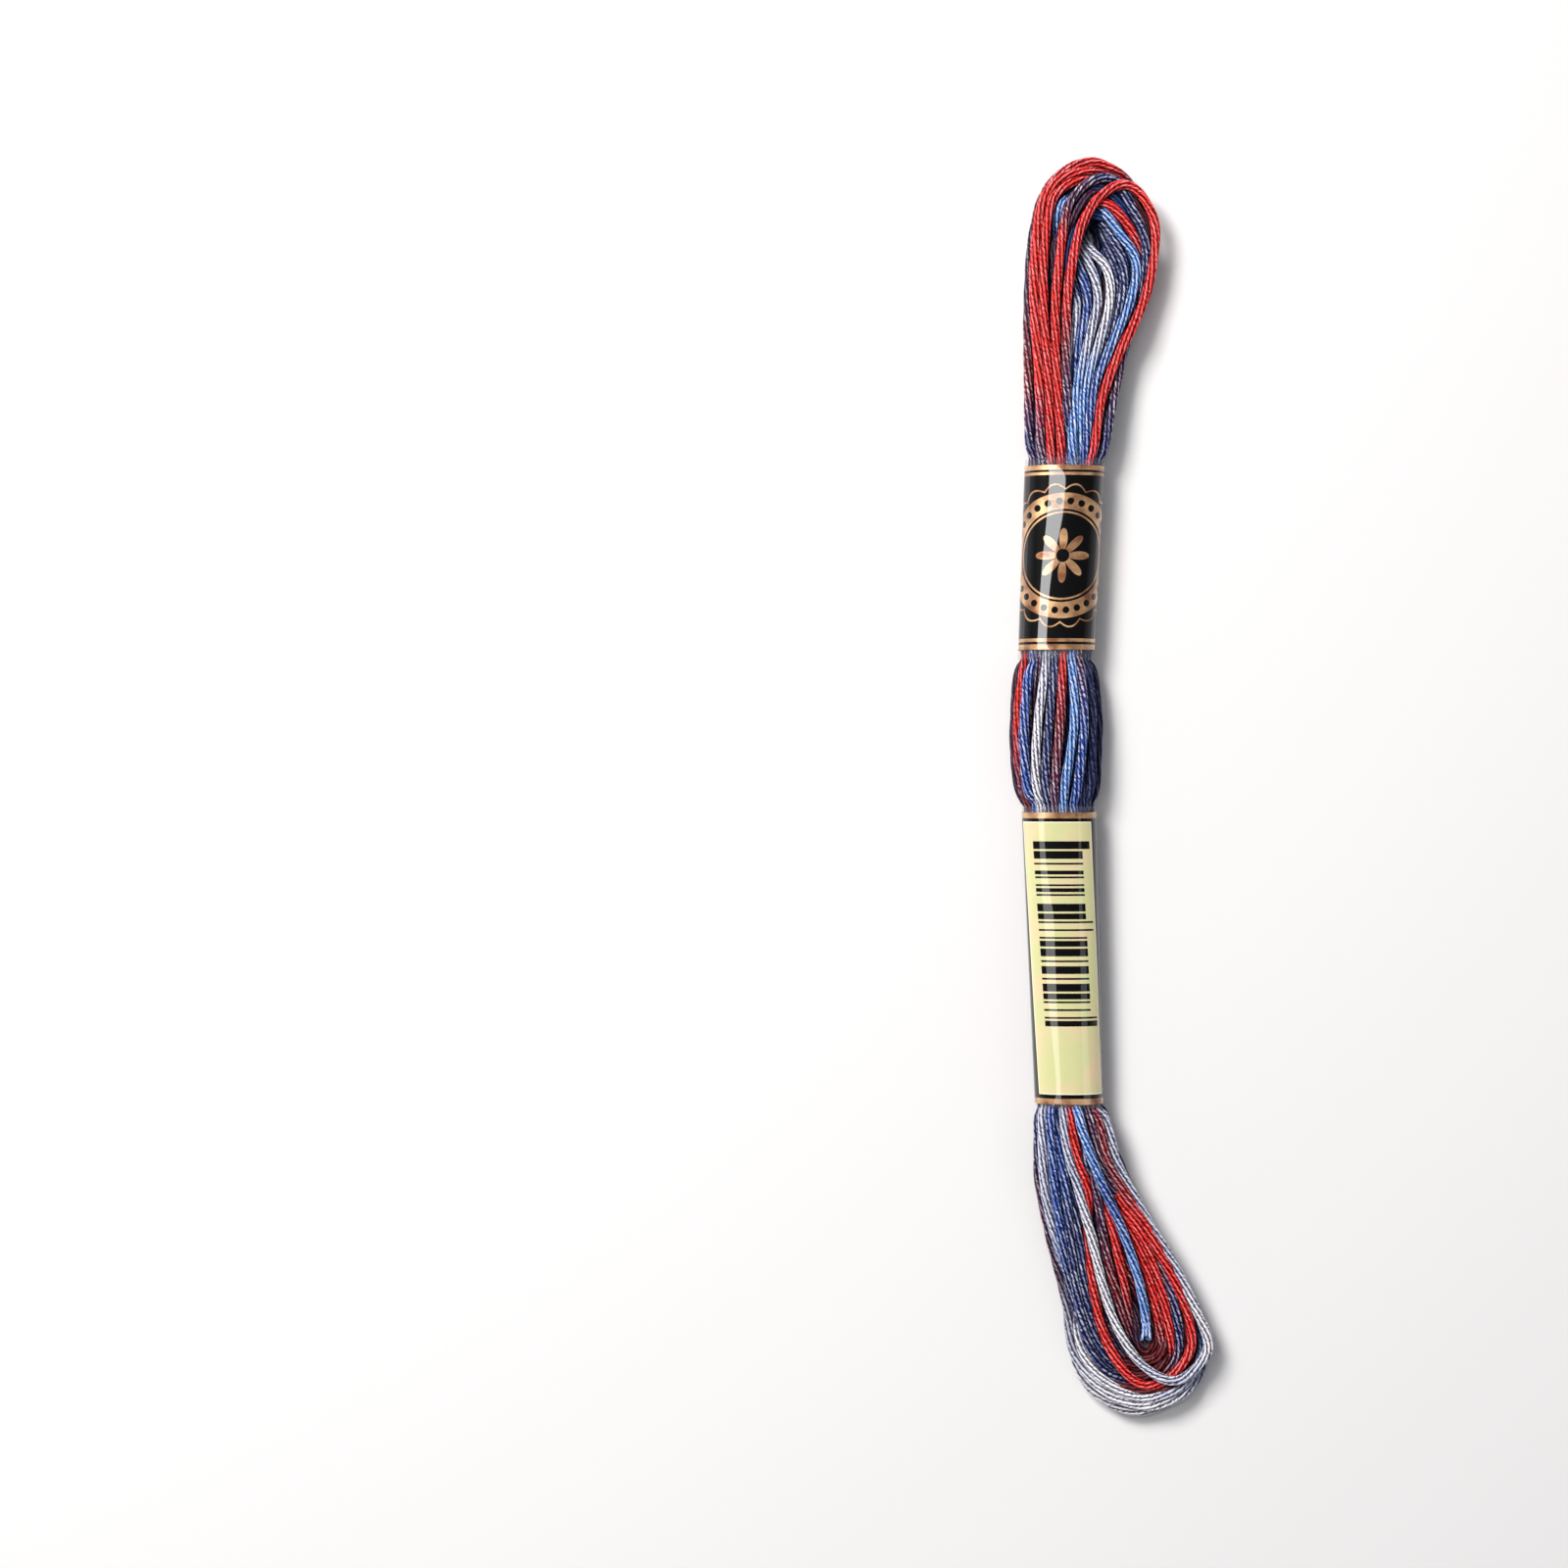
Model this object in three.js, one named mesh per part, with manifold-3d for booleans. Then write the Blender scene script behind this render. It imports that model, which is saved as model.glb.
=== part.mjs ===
// A skein of stranded embroidery floss: some two dozen turns of soft six-ply cotton, wound as one long
// hank, held by two thin printed sleeves and lying on its side. Millimetres, +Z up; X runs across the
// skein and Y along it, and the origin lies on the surface under the middle of its box.

import * as THREE from "three";
import { mergeVertices } from "three/addons/utils/BufferGeometryUtils.js";
import Module from "manifold-3d";

const wasm = await Module();
wasm.setup();

// ---- driving dimensions ----
const STRAND = 1.3; // one six-ply strand, as it lies
const CLEARANCE = 0.3; // between pieces that touch in the real skein
const SLEEVE_WALL = 0.4;
const SKEIN_MIDDLE = 3.3; // height of the middle of the bound bundle

// The two sleeves, each a straight, slightly tapered tube: its ends on the skein's centre line, the
// width at each end, and how high its crown stands.
const SLEEVES = {
  sleeve_upper: { from: [-6.4, 44.3], to: [-7.6, 17.1], wide: [11.1, 10.6], high: 6.6 },
  sleeve_lower: { from: [-7.2, -2.8], to: [-5.8, -43.6], wide: [10.4, 9.5], high: 6.4 },
};

// The hank is three stretches of yarn, each described by its sections, a row for each: the outer and
// the inner edge of the yarn there, and the lowest and highest point. Yarn that bears on the surface
// reaches a little below it and is flattened there. A loop starts and ends inside its sleeve: the upper
// one runs from its right leg over to its left one, the lower one the other way.
const BOUND_STRETCH = [
  { outer: [-9.4, 47.2], inner: [-3.2, 47.2], low: 1.6, high: 4.6 },
  { outer: [-11.3, 44.0], inner: [-1.5, 44.0], low: 0.6, high: 6.0 },
  { outer: [-12.0, 30.0], inner: [-2.1, 30.0], low: 0.6, high: 6.0 },
  { outer: [-12.4, 17.4], inner: [-2.8, 17.4], low: 0.6, high: 6.0 },
  { outer: [-13.2, 15.4], inner: [-2.1, 15.4], low: 0.1, high: 6.6 },
  { outer: [-13.5, 11.5], inner: [-1.8, 11.5], low: -0.2, high: 6.9 },
  { outer: [-13.5, 7.0], inner: [-1.8, 7.0], low: -0.2, high: 6.9 },
  { outer: [-13.2, 2.5], inner: [-2.0, 2.5], low: -0.2, high: 6.8 },
  { outer: [-12.7, -1.0], inner: [-2.2, -1.0], low: 0.1, high: 6.4 },
  { outer: [-11.8, -3.1], inner: [-2.6, -3.1], low: 0.6, high: 5.8 },
  { outer: [-11.0, -23.0], inner: [-2.0, -23.0], low: 0.6, high: 5.8 },
  { outer: [-10.1, -43.0], inner: [-1.6, -43.0], low: 0.6, high: 5.8 },
  { outer: [-8.2, -46.3], inner: [-3.0, -46.3], low: 1.6, high: 4.4 },
];
const UPPER_LOOP = [
  { outer: [-2.9, 40.4], inner: [-6.6, 40.4], low: 1.5, high: 4.9 },
  { outer: [-0.8, 46.0], inner: [-6.6, 46.0], low: 0.2, high: 5.9 },
  { outer: [1.0, 54.6], inner: [-6.3, 54.4], low: -0.2, high: 5.4 },
  { outer: [3.3, 60.0], inner: [-5.9, 59.6], low: -0.2, high: 4.9 },
  { outer: [5.2, 66.0], inner: [-5.0, 65.6], low: -0.2, high: 4.6 },
  { outer: [6.2, 71.7], inner: [-2.6, 70.3], low: -0.2, high: 4.5 },
  { outer: [6.0, 77.0], inner: [-1.3, 74.0], low: -0.2, high: 4.5 },
  { outer: [2.8, 82.6], inner: [-1.7, 77.1], low: -0.2, high: 4.6 },
  { outer: [-2.9, 85.5], inner: [-3.0, 78.5], low: -0.2, high: 4.7 },
  { outer: [-8.6, 81.8], inner: [-4.2, 76.9], low: -0.2, high: 4.9 },
  { outer: [-10.6, 75.4], inner: [-4.6, 73.2], low: -0.2, high: 5.1 },
  { outer: [-11.1, 66.0], inner: [-4.4, 66.0], low: -0.2, high: 5.4 },
  { outer: [-11.4, 55.0], inner: [-4.6, 55.0], low: -0.2, high: 5.8 },
  { outer: [-11.8, 46.0], inner: [-5.0, 46.0], low: 0.2, high: 6.0 },
  { outer: [-10.4, 40.4], inner: [-5.6, 40.4], low: 1.5, high: 4.9 },
];
const LOWER_LOOP = [
  { outer: [-9.2, -39.6], inner: [-5.2, -39.6], low: 1.5, high: 4.7 },
  { outer: [-10.4, -46.0], inner: [-4.0, -46.0], low: 0.2, high: 5.8 },
  { outer: [-10.2, -53.9], inner: [-1.7, -53.9], low: -0.2, high: 5.4 },
  { outer: [-8.9, -59.9], inner: [0.4, -59.9], low: -0.2, high: 5.0 },
  { outer: [-6.9, -66.6], inner: [2.2, -66.6], low: -0.2, high: 4.6 },
  { outer: [-5.5, -72.6], inner: [3.0, -71.9], low: -0.2, high: 4.3 },
  { outer: [-5.3, -77.9], inner: [3.5, -76.2], low: -0.2, high: 4.0 },
  { outer: [-2.6, -83.0], inner: [4.1, -78.5], low: -0.2, high: 3.9 },
  { outer: [4.1, -85.5], inner: [4.8, -79.4], low: -0.2, high: 3.9 },
  { outer: [10.6, -82.3], inner: [5.6, -78.5], low: -0.2, high: 4.1 },
  { outer: [13.6, -76.6], inner: [6.0, -75.9], low: -0.2, high: 4.3 },
  { outer: [12.1, -71.4], inner: [4.1, -70.6], low: -0.2, high: 4.5 },
  { outer: [8.8, -66.0], inner: [1.2, -65.6], low: -0.2, high: 4.7 },
  { outer: [4.9, -59.6], inner: [-1.3, -59.6], low: -0.2, high: 5.1 },
  { outer: [1.8, -53.6], inner: [-3.3, -53.6], low: -0.2, high: 5.5 },
  { outer: [-0.6, -46.4], inner: [-5.3, -46.4], low: 0.2, high: 5.8 },
  { outer: [-2.8, -39.6], inner: [-6.4, -39.6], low: 1.5, high: 4.7 },
];

// The strands that lie on top of the loops and stand out from the rest, a row for each: the edge of the
// loop that it follows at its start and end, how far in from the outer edge, and how high it rides.
const FRONT_STRANDS = [
  { loop: UPPER_LOOP, share: [0.2, 0.14, 0.62, 0.9], rise: 0.5, thick: 2.0 },
  { loop: LOWER_LOOP, share: [0.55, 0.8, 0.2, 0.25], rise: 0.5, thick: 2.0 },
];

const RIDGES = 12; // rows of strands round a stretch of yarn
const RIDGE_POINTS = 3;
const RIDGE_HEIGHT = 0.28;
const RIDGE_TURN = 0.03; // radians that the rows of strands turn in a millimetre
const SECTION_STEP = 3.6; // length between sections of a stretch
const STRAND_SIDES = 8;
const STRAND_STEP = 3.6;

// The cut end of the strand, which comes out of the lower sleeve and lies on the lower loop.
const LOOSE_END = [
  [-4.7, -45.0, 6.6], [-4.4, -46.4, 6.55], [-3.9, -47.9, 6.55], [-3.4, -49.4, 6.5], [-2.8, -51.0, 6.4],
  [-2.0, -53.1, 6.35], [-1.1, -55.1, 6.3], [-0.2, -57.1, 6.1], [0.7, -59.1, 5.95], [1.5, -61.1, 5.8],
  [2.2, -63.1, 5.7], [2.9, -65.2, 5.5], [3.5, -67.3, 5.1], [4.0, -69.4, 4.65], [4.4, -71.5, 4.3],
  [4.6, -73.5, 4.05], [4.7, -75.4, 3.85],
];
const LOOSE_END_SIDES = 8;
const LOOSE_END_STEP = 2.6;

// ---- solids: closed meshes to and from the library that joins and cuts ----
function solidOf(geometry) {
  const bare = geometry.clone();
  bare.deleteAttribute("normal");
  bare.deleteAttribute("uv");
  const merged = mergeVertices(bare, 1e-4);
  return new wasm.Manifold(
    new wasm.Mesh({
      numProp: 3,
      vertProperties: merged.attributes.position.array,
      triVerts: new Uint32Array(merged.index.array),
    }),
  );
}

// A solid's faces as a three.js geometry, its corners on a grid of GRID so that none are too close.
const GRID = 0.004;
function geometryOf(solid) {
  const mesh = solid.getMesh();
  const corners = mesh.vertProperties.map((value) => Math.round(value / GRID) * GRID);
  const geometry = new THREE.BufferGeometry();
  geometry.setAttribute("position", new THREE.BufferAttribute(corners, 3));
  geometry.setIndex(new THREE.BufferAttribute(mesh.triVerts, 1));
  const merged = mergeVertices(geometry, GRID / 4);
  const whole = [];
  for (let i = 0; i < merged.index.count; i += 3) {
    const face = [0, 1, 2].map((k) => merged.index.getX(i + k));
    if (new Set(face).size === 3) whole.push(...face);
  }
  merged.setIndex(whole);
  merged.computeVertexNormals();
  return merged;
}

// The largest shell of a solid: what lies between bundles pressed together is yarn, not a sealed hollow.
function outerShell(solid) {
  return solid.decompose().reduce((best, next) => (next.volume() > best.volume() ? next : best));
}

function circle(diameter, sides) {
  const pointAt = (turn) => new THREE.Vector2(Math.cos(turn), Math.sin(turn)).multiplyScalar(diameter / 2);
  return new THREE.Shape(Array.from({ length: sides }, (_, i) => pointAt((2 * Math.PI * i) / sides)));
}

function tubeAlong(points, diameter, sides, step) {
  const curve = new THREE.CatmullRomCurve3(points, false, "centripetal");
  return new THREE.ExtrudeGeometry(circle(diameter, sides), {
    extrudePath: curve,
    steps: Math.round(curve.getLength() / step),
  });
}

// ---- sleeves ----
const SLEEVE_SIDES = 28;
const SLEEVE_STEPS = 5;
const FLAT_DEPTH = 0.5; // how far the oval would reach below the surface that flattens it

// The section of a sleeve round the bundle: an oval with full sides, flat where it lies on the surface.
function sleeveOutline(wide, high, inset) {
  const points = [];
  for (let i = 0; i < SLEEVE_SIDES; i++) {
    const turn = (2 * Math.PI * i) / SLEEVE_SIDES;
    const side = Math.sign(Math.cos(turn)) * Math.abs(Math.cos(turn)) ** 0.85;
    const rise = Math.sign(Math.sin(turn)) * Math.abs(Math.sin(turn)) ** 0.9;
    const reach = rise < 0 ? SKEIN_MIDDLE + FLAT_DEPTH : high - SKEIN_MIDDLE;
    const height = THREE.MathUtils.clamp(SKEIN_MIDDLE + rise * reach, inset, high - inset);
    points.push(new THREE.Vector2(side * (wide / 2 - inset), height));
  }
  return points;
}

// A tube round the skein's leaning centre line, whose wall lies between two insets from the sleeve's
// outer face and which runs on past each end by a given length.
function sleeveTube({ from, to, wide, high }, outerInset, innerInset, runOn) {
  const start = new THREE.Vector2(...from);
  const along = new THREE.Vector2(...to).sub(start);
  const length = along.length();
  along.normalize();
  const section = new THREE.Shape(sleeveOutline(wide[0], high, outerInset));
  section.holes.push(new THREE.Path(sleeveOutline(wide[0], high, innerInset)));
  const tube = new THREE.ExtrudeGeometry(section, {
    depth: length + 2 * runOn,
    steps: SLEEVE_STEPS,
    bevelEnabled: false,
  });
  const place = tube.attributes.position;
  for (let i = 0; i < place.count; i++) {
    const run = place.getZ(i) - runOn;
    const taper = THREE.MathUtils.lerp(1, wide[1] / wide[0], THREE.MathUtils.clamp(run / length, 0, 1));
    const across = place.getX(i) * taper;
    const x = start.x + along.x * run - along.y * across;
    const y = start.y + along.y * run + along.x * across;
    place.setXYZ(i, x, y, place.getY(i));
  }
  return solidOf(tube);
}

// ---- the hank ----
const SQUARENESS = 0.85; // power that gives an oval section full sides; 1 is a plain oval

// The edges and heights of a stretch at a share of its way, from smooth curves through its rows.
function sectionsOf(rows) {
  const edge = (side, height) => {
    const points = rows.map((row) => new THREE.Vector3(...row[side], row[height]));
    return new THREE.CatmullRomCurve3(points, false, "centripetal");
  };
  const outer = edge("outer", "high");
  const inner = edge("inner", "low");
  const at = (share) => ({ outer: outer.getPoint(share), inner: inner.getPoint(share) });
  return { at, length: outer.getLength() };
}

// A stretch of yarn: an oval between its two edges at each section, with ridges that turn along it.
function yarnStretch(rows) {
  const sections = sectionsOf(rows);
  const sides = RIDGES * RIDGE_POINTS;
  const steps = Math.round(sections.length / SECTION_STEP);
  const bar = new THREE.ExtrudeGeometry(circle(2, sides), { depth: 1, steps, bevelEnabled: false });
  const place = bar.attributes.position;
  for (let i = 0; i < place.count; i++) {
    const share = place.getZ(i);
    const { outer, inner } = sections.at(share);
    const turn = Math.atan2(place.getY(i), place.getX(i));
    const reach = Math.hypot(place.getX(i), place.getY(i)); // 1 on the section's rim, 0 at its middle
    const ridge = RIDGE_HEIGHT * Math.cos(RIDGES * (turn + RIDGE_TURN * share * sections.length));
    const side = Math.sign(Math.cos(turn)) * Math.abs(Math.cos(turn)) ** SQUARENESS;
    const rise = Math.sign(Math.sin(turn)) * Math.abs(Math.sin(turn)) ** SQUARENESS;
    const across = new THREE.Vector2(inner.x - outer.x, inner.y - outer.y);
    const half = across.length() / 2;
    const offset = reach * side * (1 + (ridge - RIDGE_HEIGHT) / half) * 0.5;
    const middleZ = (outer.z + inner.z) / 2;
    const halfHigh = (outer.z - inner.z) / 2;
    place.setXYZ(
      i,
      (outer.x + inner.x) / 2 + across.x * offset,
      (outer.y + inner.y) / 2 + across.y * offset,
      middleZ + reach * rise * (halfHigh + ridge - RIDGE_HEIGHT),
    );
  }
  return solidOf(bar);
}

// A bundle that rides on a loop: it moves between the loop's outer edge (share 0) and its inner one
// (share 1) from section to section, and stands above the loop's yarn by a given rise.
function frontStrand({ loop, share, rise, thick }) {
  const sections = sectionsOf(loop);
  const places = 4 * loop.length;
  const shares = new THREE.CatmullRomCurve3(share.map((value, i) => new THREE.Vector3(i, value, 0)));
  const points = [];
  for (let i = 1; i < places; i++) {
    const { outer, inner } = sections.at(i / places);
    const between = THREE.MathUtils.clamp(shares.getPoint(i / places).y, 0, 1);
    const crown = Math.sin(Math.PI * THREE.MathUtils.clamp(between, 0.12, 0.88)) ** 0.5;
    const middleZ = (outer.z + inner.z) / 2;
    const high = middleZ + (outer.z - middleZ) * crown;
    points.push(new THREE.Vector3(
      THREE.MathUtils.lerp(outer.x, inner.x, between),
      THREE.MathUtils.lerp(outer.y, inner.y, between),
      high + rise - thick / 2,
    ));
  }
  return solidOf(tubeAlong(points, thick, STRAND_SIDES, STRAND_STEP));
}

// Everything above the surface that the skein lies on.
function aboveSurface() {
  const SPAN = 400;
  const block = new THREE.BoxGeometry(SPAN, SPAN, SPAN);
  block.translate(0, 0, SPAN / 2);
  return solidOf(block);
}

function hank() {
  let whole = yarnStretch(BOUND_STRETCH).add(yarnStretch(UPPER_LOOP)).add(yarnStretch(LOWER_LOOP));
  for (const strand of FRONT_STRANDS) whole = whole.add(frontStrand(strand));
  const reach = 2 * STRAND; // how far round a sleeve the yarn is kept clear of it
  for (const sleeve of Object.values(SLEEVES)) {
    whole = whole.subtract(sleeveTube(sleeve, -reach, SLEEVE_WALL + CLEARANCE, CLEARANCE));
  }
  return geometryOf(outerShell(whole.intersect(aboveSurface())));
}

// ---- the skein ----
const skein = new THREE.Group();

function addPiece(name, geometry, color, roughness) {
  const material = new THREE.MeshStandardMaterial({ color, roughness, metalness: 0 });
  const piece = new THREE.Mesh(geometry, material);
  piece.name = name;
  skein.add(piece);
}

addPiece("floss_hank", hank(), 0x7d5fa0, 0.6);
addPiece("sleeve_upper", geometryOf(sleeveTube(SLEEVES.sleeve_upper, 0, SLEEVE_WALL, 0)), 0x16120f, 0.25);
addPiece("sleeve_lower", geometryOf(sleeveTube(SLEEVES.sleeve_lower, 0, SLEEVE_WALL, 0)), 0xd7d7a5, 0.3);
addPiece(
  "floss_loose_end",
  tubeAlong(LOOSE_END.map((point) => new THREE.Vector3(...point)), STRAND, LOOSE_END_SIDES, LOOSE_END_STEP),
  0x7fa8e0,
  0.6,
);

export default skein;
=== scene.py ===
import math

import bpy
import mathutils
import numpy as np
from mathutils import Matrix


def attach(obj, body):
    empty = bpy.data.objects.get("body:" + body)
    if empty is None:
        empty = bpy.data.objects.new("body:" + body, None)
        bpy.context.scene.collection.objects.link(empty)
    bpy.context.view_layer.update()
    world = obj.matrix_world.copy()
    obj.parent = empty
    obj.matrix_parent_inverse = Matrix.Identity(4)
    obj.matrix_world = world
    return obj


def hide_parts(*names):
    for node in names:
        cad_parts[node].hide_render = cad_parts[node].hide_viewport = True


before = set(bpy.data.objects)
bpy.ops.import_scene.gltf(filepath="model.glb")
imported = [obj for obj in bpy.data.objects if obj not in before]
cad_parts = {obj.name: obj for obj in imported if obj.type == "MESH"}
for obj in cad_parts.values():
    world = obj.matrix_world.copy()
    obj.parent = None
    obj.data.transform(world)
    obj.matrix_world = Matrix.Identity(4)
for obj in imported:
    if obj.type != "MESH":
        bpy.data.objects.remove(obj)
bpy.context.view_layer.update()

MM = 0.001


# ---------------------------------------------------------------------------------------------
# Table, light and camera. The skein lies on a plain pale table in a light tent with an open
# top: a soft key light stands at its upper left, two long panels hang over it to give the film
# its streaks of gloss, and the camera looks straight down from 400 mm above.
# ---------------------------------------------------------------------------------------------
CAMERA_HEIGHT = 400 * MM
CAMERA_PLACE = (-44.65 * MM, 0.2 * MM)
PICTURE_FOCUS = 2971 / 1600  # focal length over the width of the square picture
SENSOR_WIDTH = 36.0

camera_data = bpy.data.cameras.new("camera")
camera_data.sensor_width = SENSOR_WIDTH
camera_data.lens = SENSOR_WIDTH * PICTURE_FOCUS
camera_data.clip_start = 0.01
camera = bpy.data.objects.new("camera", camera_data)
camera.location = (*CAMERA_PLACE, CAMERA_HEIGHT)
bpy.context.collection.objects.link(camera)
bpy.context.scene.camera = camera

TABLE_HALF = 1.5
PAPER = (0.86, 0.845, 0.85, 1)
table_mesh = bpy.data.meshes.new("table_top")
table_mesh.from_pydata(
    [(-TABLE_HALF, -TABLE_HALF, 0), (TABLE_HALF, -TABLE_HALF, 0),
     (TABLE_HALF, TABLE_HALF, 0), (-TABLE_HALF, TABLE_HALF, 0)], [], [(0, 1, 2, 3)])
table = bpy.data.objects.new("table_top", table_mesh)
bpy.context.collection.objects.link(table)
table_paper = bpy.data.materials.new("table_paper")
table_paper.use_nodes = True
paper = table_paper.node_tree.nodes["Principled BSDF"]
paper.inputs["Base Color"].default_value = PAPER
paper.inputs["Roughness"].default_value = 0.9
table_mesh.materials.append(table_paper)


# Lamps: place, the point each is aimed at, size, watts, turn about that line, and tint.
LAMPS = {
    "key_light": ((-0.42, 0.40, 0.62), (0, 0, 0), (0.30, 0.30), 8.4, 0, (1.0, 0.985, 0.96)),
    "fill_light": ((0.55, -0.35, 0.60), (0, 0, 0), (0.6, 0.6), 0.9, 0, (0.93, 0.95, 1.0)),
    "upper_gloss_panel": ((-0.16, 0.085, 0.55), (-0.16, 0.085, 0), (0.48, 0.062), 0.62, 11, (1, 1, 1)),
    "lower_gloss_panel": ((-0.30, -0.062, 0.55), (-0.30, -0.062, 0), (0.34, 0.09), 0.22, -12, (1, 1, 1)),
}


def soft_light(name, place, aim, size, watts, turn, tint):
    """A rectangular lamp of the given size at a place, turned to face the point it is aimed at
    and then by some degrees about that line."""
    lamp = bpy.data.lights.new(name, "AREA")
    lamp.shape = "RECTANGLE"
    lamp.size, lamp.size_y = size
    lamp.energy = watts
    lamp.color = tint
    holder = bpy.data.objects.new(name, lamp)
    holder.location = place
    facing = mathutils.Vector(aim) - mathutils.Vector(place)
    spin = mathutils.Quaternion((0, 0, 1), math.radians(turn))
    holder.rotation_mode = "QUATERNION"
    holder.rotation_quaternion = facing.to_track_quat("-Z", "Y") @ spin
    bpy.context.collection.objects.link(holder)


for name, facts in LAMPS.items():
    soft_light(name, *facts)

# The tent's cloth glows at its sides and hardly at its open top: its strength falls between two
# heights of the direction looked in.
TENT_TINT = (0.93, 0.94, 1.0, 1)
TENT_GLOW = (("From Min", 0.15), ("From Max", 0.60), ("To Min", 0.46), ("To Max", 0.04))
sky = bpy.data.worlds.new("tent")
sky.use_nodes = True
sky.node_tree.nodes["Background"].inputs["Color"].default_value = TENT_TINT
height = sky.node_tree.nodes.new("ShaderNodeSeparateXYZ")
opening = sky.node_tree.nodes.new("ShaderNodeMapRange")
for place, value in TENT_GLOW:
    opening.inputs[place].default_value = value
direction = sky.node_tree.nodes.new("ShaderNodeTexCoord").outputs["Generated"]
sky.node_tree.links.new(direction, height.inputs[0])
sky.node_tree.links.new(height.outputs["Z"], opening.inputs["Value"])
sky.node_tree.links.new(opening.outputs[0], sky.node_tree.nodes["Background"].inputs["Strength"])
bpy.context.scene.world = sky
bpy.context.scene.view_settings.view_transform = "Standard"


# ---------------------------------------------------------------------------------------------
# The cut end of the floss: the last stretch of the one long strand. It is six plies of
# mercerised cotton, lightly twisted, that leave the lower sleeve under its edge and lie on the
# turns of the lower loop. Its tip is cut square and has opened into its plies.
# ---------------------------------------------------------------------------------------------
STRAND = 1.3  # its thickness, in mm, as all sizes from here on
PLIES = 6
POINTS_A_PLY = 4
PLY_RELIEF = (0.72, 0.95, 1.02, 0.93)  # radius at the groove, flank, crest and flank of a ply
PLY_SLACK = 0.05  # how far a ply swells or slackens, as a share of the strand's radius
STRAND_TWIST = 24.0  # along the strand for one turn of its plies
RING_STEP = 0.62
END_UNDER_SLEEVE = [(-5.45, -40.6, 4.9), (-5.25, -42.2, 5.0), (-5.0, -43.7, 5.6)]
# The seen route of the cut end, from just outside the sleeve to the tip.
LOOSE_END = [
    (-4.7, -45.0, 6.6), (-4.4, -46.4, 6.55), (-3.9, -47.9, 6.55), (-3.4, -49.4, 6.5),
    (-2.8, -51.0, 6.4), (-2.0, -53.1, 6.35), (-1.1, -55.1, 6.3), (-0.2, -57.1, 6.1),
    (0.7, -59.1, 5.95), (1.5, -61.1, 5.8), (2.2, -63.1, 5.7), (2.9, -65.2, 5.5),
    (3.5, -67.3, 5.1), (4.0, -69.4, 4.65), (4.4, -71.5, 4.3), (4.6, -73.5, 4.05),
    (4.7, -75.4, 3.85),
]


def dyed(red, green, blue):
    """A dye from its eight-bit display colour, as linear light: ((c + 0.055) / 1.055) ** 2.4."""
    return tuple(((c / 255 + 0.055) / 1.055) ** 2.4 for c in (red, green, blue))


# The dyes that the strand runs through.
SCARLET = dyed(240, 34, 26)
CRIMSON = dyed(150, 18, 36)
PLUM = dyed(92, 40, 84)
NAVY = dyed(24, 42, 112)
BLUE = dyed(36, 82, 172)
SKY = dyed(104, 156, 232)
SILVER = dyed(192, 198, 220)
WHITE = dyed(240, 241, 247)


def unit(vectors):
    return vectors / np.linalg.norm(vectors, axis=1)[:, None]


def distance_along(points):
    """The way travelled along a polyline up to each of its points."""
    return np.append(0, np.cumsum(np.linalg.norm(np.diff(points, axis=0), axis=1)))


def row_at(table, place):
    """The rows of a table at places between them: each column by straight interpolation."""
    return np.array([np.interp(place, np.arange(len(table)), column) for column in table.T]).T


def curve_through(points, places):
    """Cubic Hermite curve through points at parameters 0, 1, 2...: each tangent is half the way
    between the two neighbours, and places are parameters that may fall between points."""
    points = np.asarray(points, float)
    tangents = np.gradient(points, axis=0)
    start = np.clip(np.floor(places).astype(int), 0, len(points) - 2)
    t = (places - start)[:, None]
    return ((2 * t**3 - 3 * t**2 + 1) * points[start] + (t**3 - 2 * t**2 + t) * tangents[start]
            + (3 * t**2 - 2 * t**3) * points[start + 1] + (t**3 - t**2) * tangents[start + 1])


FINE = 12  # samples from point to point, to measure a curve by


def evenly_along(points, step):
    """Parameters of a curve through points that lie an even arc length apart, about one step."""
    fine = np.linspace(0, len(points) - 1, (len(points) - 1) * FINE + 1)
    travelled = distance_along(curve_through(points, fine))
    count = max(2, int(round(travelled[-1] / step)) + 1)
    return np.interp(np.linspace(0, travelled[-1], count), travelled, fine)


def rings_round(route, reach, angle):
    """Rings of points round a route, square to it: each point lies at its angle and reach, where
    angle 0 is level and a quarter turn is up. An array of rings by points by coordinates."""
    ahead = unit(np.gradient(route, axis=0))
    aside = unit(np.cross(ahead, (0, 0, 1)))
    upward = np.cross(aside, ahead)
    return (route[:, None] + (reach * np.cos(angle))[..., None] * aside[:, None]
            + (reach * np.sin(angle))[..., None] * upward[:, None])


def plied_rings(route, radius, travelled):
    """Rings of a strand round its route: at angle a, with the plies' twist added, the radius is
    the strand's own times the relief of a ply, and each ply swells and slackens a little by two
    sines of its own along the strand."""
    around = PLIES * POINTS_A_PLY
    ply = np.arange(around) // POINTS_A_PLY
    relief = np.tile(PLY_RELIEF, PLIES)
    slack = PLY_SLACK * (np.sin(travelled[:, None] * 0.71 + ply * 2.4)
                         + np.sin(travelled[:, None] * 0.29 + ply * 4.1))
    reach = np.reshape(radius, (-1, 1)) * (relief + slack)
    angle = (np.arange(around) / around * 2 * math.pi
             + travelled[:, None] / STRAND_TWIST * 2 * math.pi)
    return rings_round(route, reach, angle)


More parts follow.
